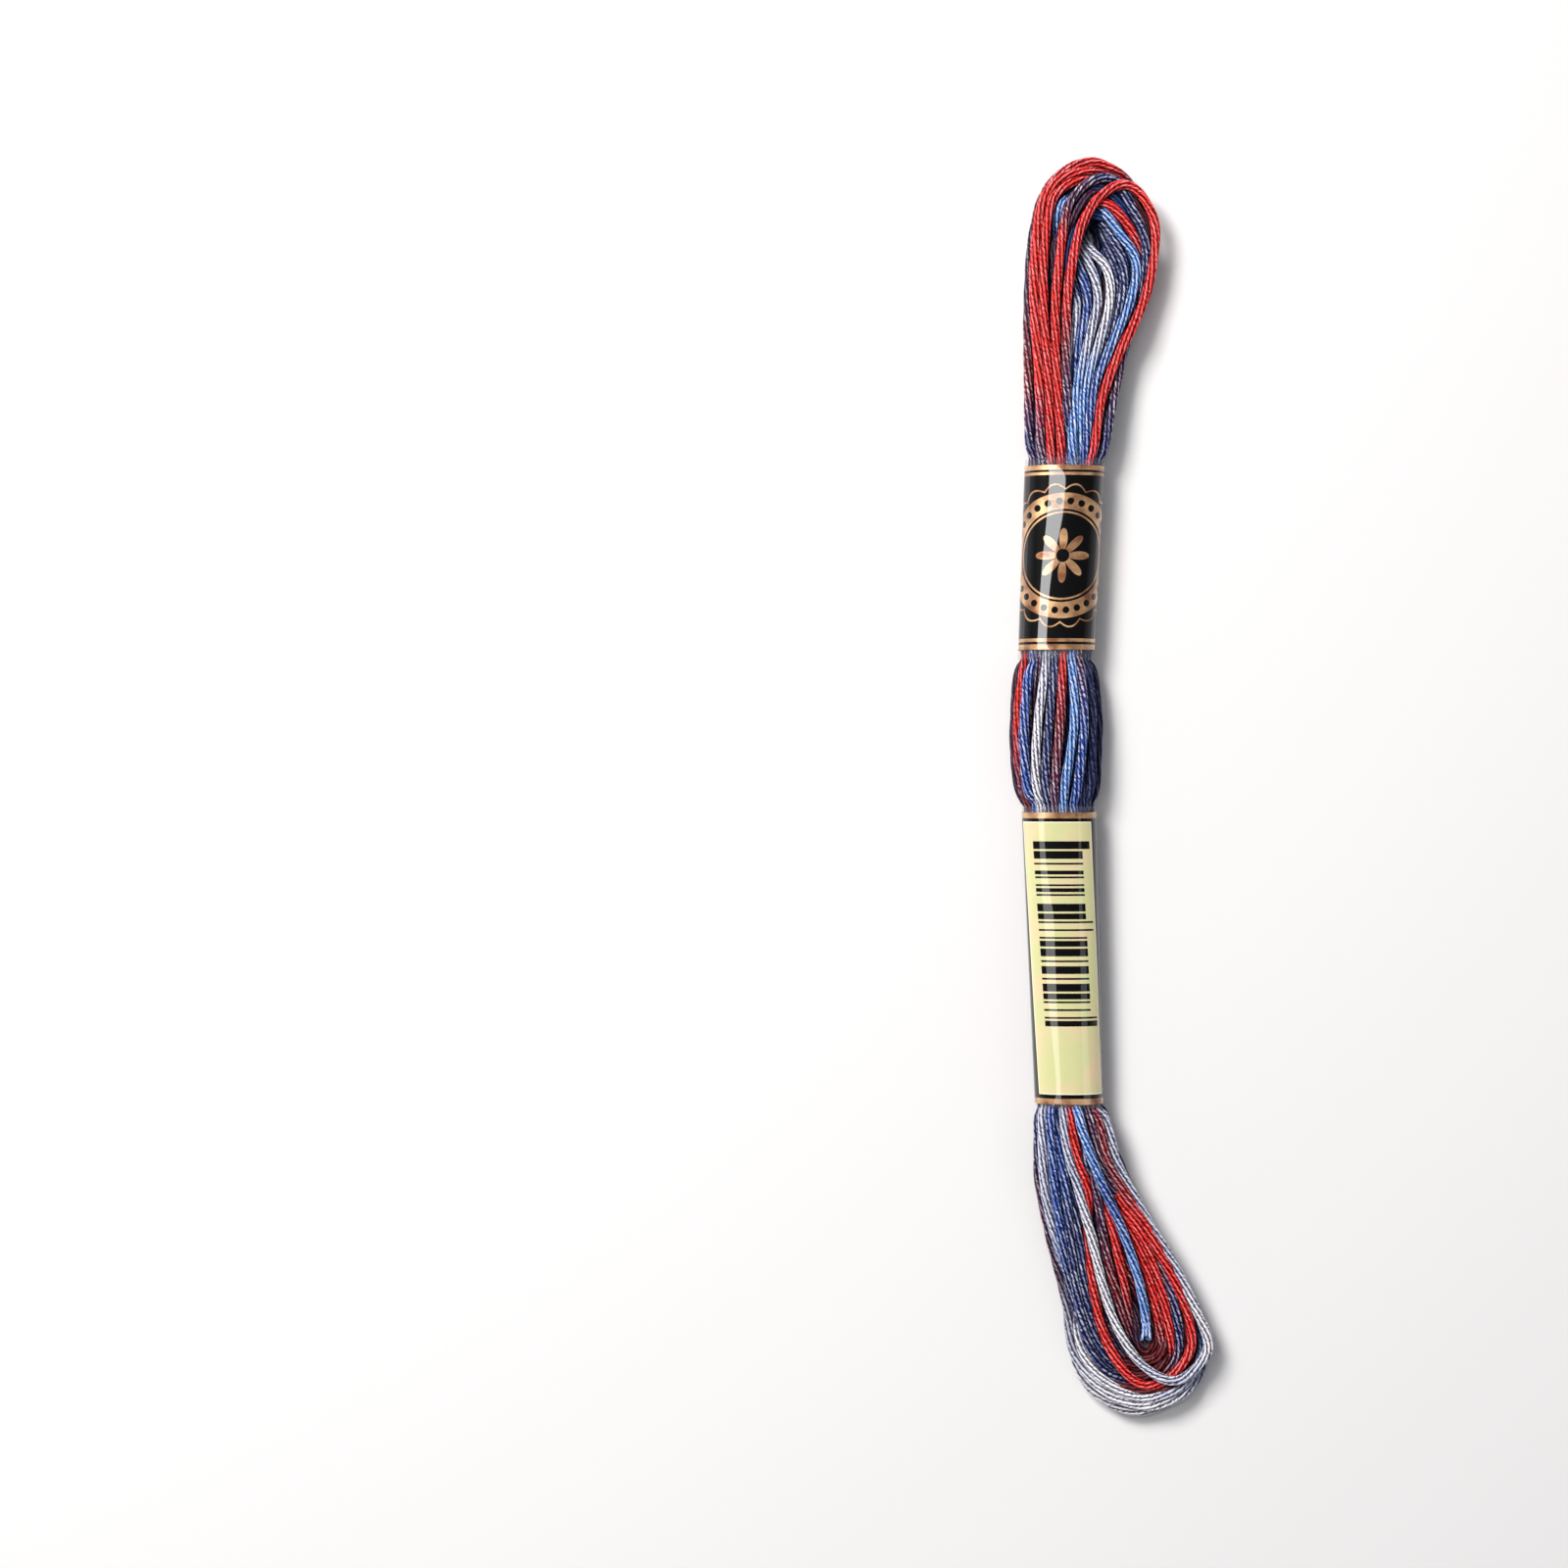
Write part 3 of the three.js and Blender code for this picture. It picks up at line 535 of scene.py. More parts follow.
# The lower loop's dyes hold painted shade as well: they turn crimson, plum and navy where a turn runs
# low.
LOWER_COURSES = {
    "front_silver": [(1, .58, 1, SILVER), (2, .635, 1.05, SILVER), (3, .61, 1.1, WHITE),
                     (4, .57, 1.1, WHITE), (5, .64, 1.1, WHITE), (6, .83, 1.1, WHITE),
                     (7, .95, 1.1, SILVER), (8, 1.0, 1.1, SILVER), (8.5, .66, 1.15, SILVER),
                     (9, .27, 1.15, SILVER), (9.5, .09, 1.05, SILVER), (10, .0, 1, WHITE),
                     (11, .09, 1, WHITE), (12, .03, 1, SILVER), (13, .02, .95, SILVER),
                     (14, .04, .9, SILVER), (15, .04, .9, SILVER)],
    "outer_silver": [(1, .125, .9, SILVER), (2, .10, .9, SILVER), (3, .08, .85, SILVER),
                     (4, .08, .6, SKY), (5, .12, .55, SILVER), (6, .16, .85, WHITE),
                     (7, .31, .95, WHITE), (8, .30, .95, WHITE), (8.5, .15, .9, SILVER),
                     (9, .05, .8, SILVER), (10, .12, .5, SKY), (11, .15, .5, BLUE),
                     (12, .2, .5, NAVY), (13, .2, .5, NAVY), (14, .2, .5, PLUM), (15, .3, .5, PLUM)],
    "foot_silver": [(1, .05, .6, NAVY), (2, .03, .55, PLUM), (3, .03, .5, PLUM),
                    (4, .02, .45, PLUM), (5, .0, .45, SILVER), (6, .03, .6, SILVER),
                    (7, .16, .85, WHITE), (8, .10, .85, WHITE), (8.5, -.02, .8, WHITE),
                    (9, -.02, .6, SILVER), (10, .09, .2, SKY), (11, .13, .15, BLUE),
                    (12, .16, .2, NAVY), (13, .2, .3, NAVY), (14, .2, .4, NAVY),
                    (15, .1, .5, NAVY)],
    "sole_silver": [(1, .2, .4, NAVY), (2, .15, .35, NAVY), (3, .1, .3, NAVY), (4, .08, .3, PLUM),
                    (5, .05, .3, SILVER), (6, .03, .4, WHITE), (7, .02, .55, WHITE),
                    (8, -.03, .6, WHITE), (9, .0, .35, SILVER), (10, .15, .2, SILVER),
                    (11, .2, .2, SKY), (12, .2, .2, BLUE), (13, .25, .2, NAVY), (14, .3, .2, NAVY),
                    (15, .3, .3, NAVY)],
    "outer_blue": [(1, .30, 1, BLUE), (2, .26, 1, BLUE), (3, .19, 1, BLUE), (4, .13, .85, NAVY),
                   (5, .12, .75, NAVY), (6, .22, .6, NAVY), (7, .38, .35, NAVY), (8, .45, .2, NAVY),
                   (9, .45, .25, BLUE), (10, .3, .5, BLUE), (11, .3, .5, SKY), (12, .3, .5, SKY),
                   (13, .35, .5, BLUE), (14, .4, .5, BLUE), (15, .5, .5, BLUE)],
    "navy_outer": [(1, .42, .85, BLUE), (2, .44, 1, BLUE), (3, .33, 1, NAVY), (4, .16, 1, NAVY),
                   (5, .14, .95, NAVY), (6, .30, .9, NAVY), (7, .44, .6, NAVY),
                   (8, .55, .3, NAVY), (9, .55, .3, PLUM), (10, .5, .5, PLUM), (11, .5, .5, CRIMSON),
                   (12, .5, .5, CRIMSON), (13, .5, .5, CRIMSON), (14, .5, .5, CRIMSON),
                   (15, .6, .5, PLUM)],
    "navy_inner": [(1, .5, .6, NAVY), (2, .5, .8, NAVY), (3, .45, .95, NAVY), (4, .30, 1, NAVY),
                   (5, .28, 1, NAVY), (6, .42, .8, NAVY), (7, .56, .4, NAVY), (8, .65, .1, PLUM),
                   (9, .6, .1, CRIMSON), (10, .6, .2, CRIMSON), (11, .6, .4, BLUE), (12, .6, .4, BLUE),
                   (13, .6, .4, SKY), (14, .6, .4, SKY), (15, .7, .4, SILVER)],
    "red_under_front": [(1, .78, 1, SCARLET), (2, .80, 1, SCARLET), (3, .60, .85, SCARLET),
                        (4, .44, .95, SCARLET), (5, .42, 1, SCARLET), (6, .575, 1.05, SCARLET),
                        (7, .66, 1.05, SCARLET), (8, .50, 1.0, SCARLET), (8.5, .38, .85, SCARLET),
                        (9, .46, .9, SCARLET), (10, .34, 1, SCARLET), (11, .26, 1, SCARLET),
                        (12, .13, 1, SCARLET), (13, .10, 1, SCARLET), (14, .27, .95, CRIMSON),
                        (15, .22, .95, CRIMSON)],
    "plum_right": [(1, .65, .5, NAVY), (2, .65, .5, NAVY), (3, .6, .5, NAVY), (4, .5, .5, PLUM),
                   (5, .55, .5, PLUM), (6, .7, .5, PLUM), (7, .7, .3, PLUM), (8, .68, .2, CRIMSON),
                   (9, .58, .5, CRIMSON), (10, .57, .95, NAVY), (11, .44, 1, NAVY), (12, .27, .95, PLUM),
                   (13, .25, .8, PLUM), (14, .5, .85, PLUM), (15, .5, .95, PLUM)],
    "right_red_outer": [(1, .7, .4, CRIMSON), (2, .7, .4, CRIMSON), (3, .7, .4, SCARLET),
                        (4, .7, .4, CRIMSON), (5, .72, .4, CRIMSON), (6, .75, .35, CRIMSON),
                        (7, .7, .2, PLUM), (8, .65, .1, PLUM), (9, .55, .3, PLUM),
                        (9.5, .66, .75, CRIMSON), (10, .72, .95, SCARLET), (11, .61, 1, SCARLET),
                        (12, .40, 1, SCARLET), (13, .27, 1, SCARLET), (14, .5, .75, SCARLET),
                        (15, .35, .7, SCARLET)],
    "right_red_inner": [(1, .8, .4, PLUM), (2, .85, .4, CRIMSON), (3, .85, .4, CRIMSON),
                        (4, .85, .4, CRIMSON), (5, .88, .35, CRIMSON), (6, .85, .25, CRIMSON),
                        (7, .78, .1, PLUM), (8, .75, .05, PLUM), (9, .65, .2, PLUM),
                        (9.5, .76, .6, CRIMSON), (10, .86, .85, CRIMSON), (11, .76, .95, SCARLET),
                        (12, .54, 1, SCARLET), (13, .42, 1, SCARLET), (14, .6, .75, SCARLET),
                        (15, .6, .7, CRIMSON)],
    "right_red_deep": [(1, .9, .3, PLUM), (2, .95, .3, PLUM), (3, .95, .3, CRIMSON),
                       (4, .95, .25, CRIMSON), (5, .95, .2, PLUM), (6, .9, .1, PLUM),
                       (7, .88, .05, PLUM), (8, .84, .0, PLUM), (9, .76, .1, PLUM),
                       (10, .94, .5, CRIMSON), (11, .88, .7, CRIMSON), (12, .67, .9, SCARLET),
                       (13, .57, .95, SCARLET), (14, .75, .85, CRIMSON), (15, .8, .8, CRIMSON)],
    "maroon_left": [(1, .88, .8, PLUM), (2, .95, .95, PLUM), (3, .80, .95, PLUM),
                    (4, .74, .85, CRIMSON), (5, .80, .7, CRIMSON), (6, .88, .4, PLUM),
                    (7, .86, .2, PLUM), (8, .82, .1, PLUM), (9, .7, .0, PLUM), (10, .75, .1, NAVY),
                    (11, .85, .2, NAVY), (12, .85, .5, NAVY), (13, .8, .6, NAVY), (14, .8, .8, NAVY),
                    (15, .75, .85, NAVY)],
    "red_left": [(1, .9, .6, CRIMSON), (2, 1.0, .8, SCARLET), (3, .95, .95, SCARLET),
                 (4, .92, .9, SCARLET), (5, .93, .7, CRIMSON), (6, .94, .3, PLUM),
                 (7, .92, .1, PLUM), (8, .88, .0, PLUM), (9, .8, .0, PLUM),
                 (10, .9, .1, PLUM), (11, .95, .3, CRIMSON), (12, .9, .7, CRIMSON),
                 (13, .85, .8, CRIMSON), (14, .9, .7, PLUM), (15, .9, .6, NAVY)],
}
# A turn's course along the bound stretch, at the sleeves' facing mouths and half way between
# them: share across from the left edge to the right, height as above, and the dye. It runs on
# unchanged as far as a station under each sleeve.
PASS_STATIONS = (-14.0, -1.9, 8.3, 17.4, 28.0)
LEFT_PASSES = {
    "edge_red": ((.04, .5, PLUM), (.06, .55, SCARLET), (.07, .6, SCARLET)),
    "blue": ((.06, 1, BLUE), (.11, 1, BLUE), (.12, 1, BLUE)),
    "plum": ((.12, .5, PLUM), (.19, .6, PLUM), (.21, .9, PLUM)),
    "silver": ((.17, 1, WHITE), (.27, 1, WHITE), (.35, 1, SILVER)),
    "navy": ((.29, 1, NAVY), (.40, 1, NAVY), (.46, 1, NAVY)),
    "red": ((.42, 1, PLUM), (.53, 1, CRIMSON), (.58, 1, SCARLET)),
}
RIGHT_PASSES = {
    "light_blue": ((.56, 1, SKY), (.70, 1, SKY), (.72, 1, SKY)),
    "mid_blue": ((.74, 1, BLUE), (.81, 1, BLUE), (.82, 1, PLUM)),
    "edge_navy": ((.88, .6, NAVY), (.92, .6, NAVY), (.92, .6, NAVY)),
}
# The turns in the order in which they are wound: upper course, left pass, lower course and
# right pass. Where a turn has None, it is hidden inside the hank, and its place follows from
# its number.
WINDING = [
    (None, None, "sole_silver", None),
    (None, None, "right_red_deep", None),
    ("crossing_silver", None, None, None),
    (None, None, None, None),
    ("second_navy", None, "navy_inner", None),
    (None, None, None, None),
    ("crossing_blue", None, None, None),
    (None, None, None, None),
    (None, None, "right_red_inner", None),
    (None, None, None, None),
    (None, None, None, None),
    (None, None, "maroon_left", None),
    ("inner_red", None, "foot_silver", None),
    (None, None, "right_red_outer", None),
    (None, "plum", "navy_outer", None),
    (None, None, "red_left", None),
    ("silver_left", None, None, None),
    ("inner_navy", None, "plum_right", "mid_blue"),
    ("brow", "edge_red", "outer_silver", None),
    ("cheek_outer", "blue", "outer_blue", None),
    ("silver_right", None, None, None),
    ("cheek_inner", "silver", None, None),
    ("arc", "navy", "red_under_front", "edge_navy"),
    ("ribbon", None, None, None),
    ("front", "red", "front_silver", "light_blue"),
]
TURNS = len(WINDING)
GOLDEN_ANGLE = math.radians(137.5)
# Dyes of hidden turns: only darker ones, partly the strand's own and partly painted shade deep in the
# hank.
HIDDEN_DYES = (NAVY, PLUM, NAVY, CRIMSON, NAVY, BLUE, PLUM)
# Where hidden turns lie: the middle and reach of their share across, then of their height.
HIDDEN_LEFT = (0.25, 0.22, 0.42, 0.36)
HIDDEN_RIGHT = (0.75, 0.22, 0.42, 0.36)
HIDDEN_IN_LOOP = (0.5, 0.42, 0.36, 0.36)
HELD, FREE = 0.12, 0.02  # how firmly a seen and a hidden turn are drawn back to their course
FIRM = 0.05  # the bound between the two
LOWER_EYE = range(7, 11)  # sections of the lower loop where hidden turns show, crimson, in its eye
LAST_KEY = (0.5, -9.0, 0)  # of the strand, from its first one, under the lower sleeve
DARK_UP_TO, LIT_AFTER = 0.2, 0.6  # painted shade: height up to which a turn is painted in full shade, and the rise over which it reaches full painted light
DYE_LEFT_IN_PAINTED_SHADE, GLINT_LEFT_IN_PAINTED_SHADE = 0.3, 0.15  # shares of dye and painted glint left under full painted shade
RED_LOSES_PAINTED_GLINT = 0.7  # share of its painted glint that a pure red loses
HIDDEN_PAINTED_LIGHT, HIDDEN_PAINTED_GLINT = 0.5, 0.3  # shares of painted light and painted glint that a hidden turn has


def in_section(sections, number, share, height):
    """A point of a section: share across from its outer to its inner point, and a strand's
    radius plus the height's share of what the section's thickness leaves above its foot."""
    row = row_at(sections, number)
    low, high = max(row[4], 0), row[5]
    return np.append(row[:2] + (row[2:4] - row[:2]) * share,
                     low + STRAND / 2 + (high - low - STRAND) * height)


def in_bound_stretch(y, share, height):
    """The same in the bound stretch, whose sections are found by their y, from top to foot."""
    number = np.interp(-y, -BOUND_STRETCH[:, 1], np.arange(len(BOUND_STRETCH)))
    return in_section(BOUND_STRETCH, number, share, height)


def winding_keys():
    """The key points of the whole strand, the dye and painted glint share of each, how firmly each
    is held, and the number of the key at which each turn starts. A turn runs through the right
    pass, the upper course, the left pass and the lower course. A hidden one has the place of its
    number in a sunflower head: radius as the root of the number, angle by the golden angle. Shade
    is painted into the dye: it is darkened, and its painted glint dimmed, at keys that lie low
    among the other turns, and on hidden turns."""
    keys, dyes_with_painted_shade, holds, starts = [], [], [], []

    def put(point, height, dye, seen):
        # Painted shade: the dye darkens and the painted glint dims as a key lies lower, and more on
        # hidden turns.
        light = min(max((height - DARK_UP_TO) / LIT_AFTER, 0.0), 1.0) * (1.0 if seen else HIDDEN_PAINTED_LIGHT)
        painted_glint = (GLINT_LEFT_IN_PAINTED_SHADE + (1 - GLINT_LEFT_IN_PAINTED_SHADE) * light) * (1 - RED_LOSES_PAINTED_GLINT * max(dye[0] - dye[2], 0))
        keys.append(point)
        dyes_with_painted_shade.append([part * (DYE_LEFT_IN_PAINTED_SHADE + (1 - DYE_LEFT_IN_PAINTED_SHADE) * light) for part in dye]
                    + [painted_glint if seen else HIDDEN_PAINTED_GLINT * painted_glint])
        holds.append(HELD if seen else FREE)

    for number, (upper, left, lower, right) in enumerate(WINDING):
        starts.append(len(keys))
        reach = math.sqrt((number + 0.5) / TURNS)
        wide = reach * math.cos(number * GOLDEN_ANGLE)
        tall = reach * math.sin(number * GOLDEN_ANGLE)
        first_dye, last_dye = (HIDDEN_DYES[(number * 5 + step) % len(HIDDEN_DYES)] for step in (0, 6))

        def hidden(where, dye):
            middle, spread, level, rise = where
            return (middle + spread * wide, level + rise * tall, dye)

        def bound_pass(entries, hidden_entry, order):
            first, middle, last = entries or [hidden_entry] * 3
            stations = list(zip(PASS_STATIONS, (first, first, middle, last, last)))
            for y, (share, height, dye) in stations[::order]:
                put(in_bound_stretch(y, share, height), height, dye, bool(entries))

        def loop(sections, course, hidden_dye, eye):
            hidden_course = [(row, *hidden(HIDDEN_IN_LOOP, CRIMSON if row in eye else hidden_dye))
                             for row in range(1, len(sections) - 1)]
            for row, share, height, dye in course or hidden_course:
                put(in_section(sections, row, share, height), height, dye, bool(course))

        bound_pass(RIGHT_PASSES.get(right), hidden(HIDDEN_RIGHT, NAVY), 1)
        loop(UPPER_LOOP, UPPER_COURSES.get(upper, CROSSING_COURSES.get(upper)), first_dye, ())
        bound_pass(LEFT_PASSES.get(left), hidden(HIDDEN_LEFT, first_dye), -1)
        loop(LOWER_LOOP, LOWER_COURSES.get(lower), last_dye, LOWER_EYE)
    starts.append(len(keys))
    put(keys[0] + np.array(LAST_KEY), 0.5, NAVY, False)
    return np.array(keys), np.array(dyes_with_painted_shade), np.array(holds), starts


# Each sleeve's middle (x, y) at its top and at its foot, its widths there and its height.
SLEEVES = {
    "sleeve_upper": {"top": (-6.4, 44.3), "foot": (-7.6, 17.1), "wide": (11.1, 10.6), "high": 6.6},
    "sleeve_lower": {"top": (-7.2, -2.8), "foot": (-5.8, -43.6), "wide": (10.4, 9.5), "high": 6.4},
}
SQUEEZED = 0.82  # thickness of a strand under a sleeve, as a share of its free thickness
SQUEEZE_LENGTH = 2.0  # over which it thins on either side of a sleeve's mouth


def squeeze(y):
    """The share of its free thickness that a strand has at a place along the skein: less by the
    smooth step 3 d^2 - 2 d^3 of the depth d under a sleeve's mouth."""
    share = np.zeros_like(y)
    for sleeve in SLEEVES.values():
        inside = np.minimum(sleeve["top"][1] - y, y - sleeve["foot"][1])
        depth = np.clip((inside + SQUEEZE_LENGTH) / (2 * SQUEEZE_LENGTH), 0, 1)
        share = np.maximum(share, depth * depth * (3 - 2 * depth))
    return 1 - (1 - SQUEEZED) * share


SAMPLE_STEP = 1.0
NEIGHBOURS = 4  # samples along the strand that don't press each other
PACKED = 0.96  # distance that turns keep from each other, as a share of their thickness
ROUNDS = 70
ROUNDS_A_SEARCH = 10  # for near pairs
SEARCH_REACH = 1.9
PUSH, EASE = 0.45, 0.22  # shares of the overlap and of the way to the neighbours' mean, a round
HELD_GIVES, FREE_GIVES = 0.35, 1.0  # how readily a seen and a hidden turn give way
LOWEST = 0.585  # of a strand's middle over the table, in thicknesses, as its plies swell in places
BORE_POWER = 2.3  # of the sleeves' inner outline, as a superellipse
SLEEVE_ROOM = 0.42  # from that outline to the sleeve's nominal one
SLEEVE_REACH = 0.6  # how far beyond its mouths a sleeve still holds the turns in


def near_pairs(places, reach):
    """Pairs of samples nearer than reach, with the samples sorted by y and each compared with
    the following ones in turn until even the nearest is too far along."""
    order = np.argsort(places[:, 1], kind="stable")
    pairs = []
    for gap in range(1, len(places)):
        first, second = order[:-gap], order[gap:]
        along = places[second, 1] - places[first, 1]
        close = along < reach
        if not close.any():
            break
        first, second = first[close], second[close]
        apart = places[second] - places[first]
        near = ((apart**2).sum(axis=1) < reach**2) & (abs(first - second) > NEIGHBOURS)
        pairs.append(np.stack([first[near], second[near]]))
    return np.concatenate(pairs, axis=1)


def settled(places, holds, thickness):
    """The strand with its turns pressed clear of each other: round by round, samples nearer than
    a strand's thickness part along the line between them, each is drawn back a little to its
    key route, the route is eased by its neighbours' mean, and floor and sleeves hold it in."""
    home = places.copy()
    places = places.copy()
    weight = np.where(holds > FIRM, HELD_GIVES, FREE_GIVES)
    for round_number in range(ROUNDS):
        if round_number % ROUNDS_A_SEARCH == 0:
            first, second = near_pairs(places, SEARCH_REACH)
        apart = places[second] - places[first]
        distance = np.sqrt((apart**2).sum(axis=1)) + 1e-9
        wanted = (thickness[first] + thickness[second]) / 2
        press = np.clip(wanted - distance, 0, None) / distance * PUSH
        shove = apart * press[:, None]
        both = weight[first] + weight[second]
        for axis in range(3):
            places[:, axis] -= np.bincount(first, shove[:, axis] * weight[first] / both, len(places))
            places[:, axis] += np.bincount(second, shove[:, axis] * weight[second] / both, len(places))
        places += holds[:, None] * (home - places)
        places[1:-1] += EASE * (places[:-2] + places[2:] - 2 * places[1:-1])
        places[:, 2] = np.maximum(places[:, 2], thickness * LOWEST)
        for sleeve in SLEEVES.values():
            (top_x, top_y), (foot_x, foot_y) = sleeve["top"], sleeve["foot"]
            along = np.clip((top_y - places[:, 1]) / (top_y - foot_y), 0, 1)
            half_wide = np.interp(along, (0, 1), sleeve["wide"]) / 2 - SLEEVE_ROOM - thickness / 2
            half_high = sleeve["high"] / 2 - SLEEVE_ROOM - thickness / 2
            middle = np.stack([top_x + (foot_x - top_x) * along,
                               np.full(len(places), sleeve["high"] / 2)], axis=1)
            out = places[:, [0, 2]] - middle
            over = (abs(out[:, 0] / half_wide) ** BORE_POWER
                    + abs(out[:, 1] / half_high) ** BORE_POWER) ** (1 / BORE_POWER)
            near = (places[:, 1] < top_y + SLEEVE_REACH) & (places[:, 1] > foot_y - SLEEVE_REACH)
            outside = np.flatnonzero(near & (over > 1))
            places[outside[:, None], (0, 2)] = (middle + out / over[:, None])[outside]
    return places


keys, key_dyes_with_painted_shade, key_holds, turn_keys = winding_keys()
key_places = evenly_along(keys, SAMPLE_STEP)
route = curve_through(keys, key_places)
holds = np.interp(key_places, np.arange(len(keys)), key_holds)
route = settled(route, holds, STRAND * PACKED * squeeze(route[:, 1]))
ring_places = evenly_along(route, RING_STEP)
rings_route = curve_through(route, ring_places)
ring_dyes_with_painted_shade = row_at(row_at(key_dyes_with_painted_shade, key_places), ring_places)
ring_travelled = distance_along(rings_route)

# One piece for each turn, cut where the right pass starts, under the lower sleeve.
turn_starts = np.interp(turn_keys, key_places, np.arange(len(route)))
cuts = np.searchsorted(ring_places, turn_starts)
cuts[-1] = len(ring_places) - 1
turn_rings = plied_rings(rings_route, STRAND / 2 * squeeze(rings_route[:, 1]), ring_travelled)
for number in range(TURNS):
    stretch = slice(cuts[number], cuts[number + 1] + 1)
    turn = tube_piece(f"floss_turn_{number + 1:02d}", turn_rings[stretch], ring_dyes_with_painted_shade[stretch],
                      ring_travelled[stretch], cotton)
    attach(turn, "root")
    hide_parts("floss_hank")


# ---------------------------------------------------------------------------------------------
# The two sleeves: thin printed film, wrapped tight round the bound stretch. Each holds the
# passes of the strand together.
# ---------------------------------------------------------------------------------------------
FILM = 0.14
ROUNDNESS = (0.85, 0.9)  # powers of the cosine and sine in a sleeve's outline
DRAWN_IN = 0.1  # of the film inside the sleeve's nominal outline
ABOVE_TABLE = 0.02  # of the film's outside at its lowest
RIDGE, RIPPLE = 0.030, 0.020  # heights of the lengthwise ridges and of the ripples down them
FLARE, FLARE_LENGTH = 0.06, 0.5  # how far the film stands out at its mouths
FILM_AROUND = 132
FILM_ALONG = 0.55
NOT_PRINTED = -5.0  # where on its map the inside of the film lies, off the print


def sleeve_length(sleeve):
    return sleeve["top"][1] - sleeve["foot"][1]


def film_sleeve(name, sleeve, material):
    """A closed film tube: at angle a its outline is half the width times cos(a) and half the
    height times sin(a), each raised to its power, and every point stands out by soft lengthwise
    ridges, a sum of sines of the way round and along, and by a flare that dies away from the
    mouths. Outside and inside are a film's thickness apart and joined at both mouths, and its
    map is mm around from the front line by mm from the top."""
    top_x, foot_x = sleeve["top"][0], sleeve["foot"][0]
    length = sleeve_length(sleeve)
    count = int(length / FILM_ALONG) + 1
    along = np.linspace(0, 1, count)[:, None]
    angle = math.pi / 2 - np.arange(FILM_AROUND + 1) / FILM_AROUND * 2 * math.pi
    half_wide = (sleeve["wide"][0] + (sleeve["wide"][1] - sleeve["wide"][0]) * along) / 2
    half_high = sleeve["high"] / 2
    cosine = np.sign(np.cos(angle)) * abs(np.cos(angle)) ** ROUNDNESS[0]
    sine = np.sign(np.sin(angle)) * abs(np.sin(angle)) ** ROUNDNESS[1]
    down = along * length
    edge = np.minimum(down, length - down)
    relief = (RIDGE * np.sin(angle * 4 + down * 0.06) + RIPPLE * np.sin(down * 0.33 + angle * 2)
              ) * np.clip(sine, 0.0, 1.0)
    relief += FLARE * np.exp(-edge / FLARE_LENGTH) * (1 + 0.6 * np.sin(angle * 5))
    layers = []
    for inset in (0.0, FILM):
        across = (half_wide + relief - DRAWN_IN - inset) * cosine
        above = half_high + (half_high - DRAWN_IN + relief - inset) * sine
        above = np.maximum(above, ABOVE_TABLE + inset)
        middle = top_x + (foot_x - top_x) * along
        level = np.broadcast_to(sleeve["top"][1] - down, across.shape)
        layers.append(np.stack([middle + across, level, above], axis=-1))
    outside, inside = layers
    girth = distance_along(outside[count // 2][:, [0, 2]])  # half way down, from the front line
    girth = np.where(girth > girth[-1] / 2, girth - girth[-1], girth)
    loop = np.concatenate([outside[:, :-1], inside[::-1, :-1]])
    rows, around = loop.shape[:2]
    row, place = np.meshgrid(np.arange(rows), np.arange(around), indexing="ij")
    below, beside = (row + 1) % rows, (place + 1) % around
    quads = np.stack([row * around + place, row * around + beside,
                      below * around + beside, below * around + place], axis=-1)
    mesh = bpy.data.meshes.new(name)
    mesh.from_pydata((loop.reshape(-1, 3) * MM).tolist(), [], quads.reshape(-1, 4).tolist())
    mesh.polygons.foreach_set("use_smooth", np.ones(rows * around, bool))
    printed = np.concatenate([down[:, 0], np.full(count, NOT_PRINTED)])
    printed_below = np.append(printed[1:], NOT_PRINTED)
    printed_below[count - 1] = printed[count - 1]
    right_edge = np.where(girth[1:] < girth[:-1] - 1, -girth[1:], girth[1:])
    left_edge = girth[:-1]
    one = np.ones((rows, around))
    spread = np.stack([left_edge * one, printed[:, None] * one, right_edge * one,
                       printed[:, None] * one, right_edge * one, printed_below[:, None] * one,
                       left_edge * one, printed_below[:, None] * one], axis=-1)
    mesh.uv_layers.new(name="print").data.foreach_set("uv", spread.reshape(-1))
    mesh.materials.append(material)
    piece = bpy.data.objects.new(name, mesh)
    bpy.context.collection.objects.link(piece)
    return piece


PALE_GOLD = dyed(226, 182, 136)
COPPER = dyed(134, 86, 60)
BLACK = dyed(9, 7, 8)
VEIL = (0.34, 0.34, 0.38)
CLEARNESS = 0.93  # of the unprinted margins
INK_METAL = 0.5  # how metallic the gold inks are


def film_start(name):
    """The nodes that both prints share: mm across, mm down, and a soft uneven gold."""
    nodes = Nodes(name)
    layout = nodes.add("ShaderNodeUVMap", uv_map="print")
    across, down, _ = nodes.axes(layout)
    cloud = nodes.add("ShaderNodeTexNoise", {"Vector": layout, "Scale": 0.35, "Detail": 3.0})
    return nodes, layout, across, down, nodes.mix(nodes.ramp(cloud, 0.35, 0.65), COPPER, PALE_GOLD)


def film_end(nodes, ground, gold, metal, clear):
    """Gloss film over the print: gold where the inks are metallic, a clear coat with a slight
    crinkle, and only a pale veil on the unprinted margins of the film."""
    crinkle = nodes.add("ShaderNodeTexNoise", {
        "Vector": nodes.add("ShaderNodeTexCoord", out=3), "Scale": 420.0, "Detail": 2.0})
    bump = nodes.add("ShaderNodeBump", {"Height": crinkle, "Strength": 0.05, "Distance": 0.10 * MM})
    nodes.surface(Base_Color=nodes.mix(clear, nodes.mix(metal, ground, gold), VEIL),
                  Alpha=nodes.maths("MULTIPLY_ADD", clear, -CLEARNESS, 1.0),
                  Metallic=nodes.maths("MULTIPLY", metal, INK_METAL), Roughness=0.40,
                  Specular_IOR_Level=0.05, Coat_Weight=1.0, Coat_Roughness=0.02, Coat_IOR=1.7,
                  Normal=bump)
    return nodes.material


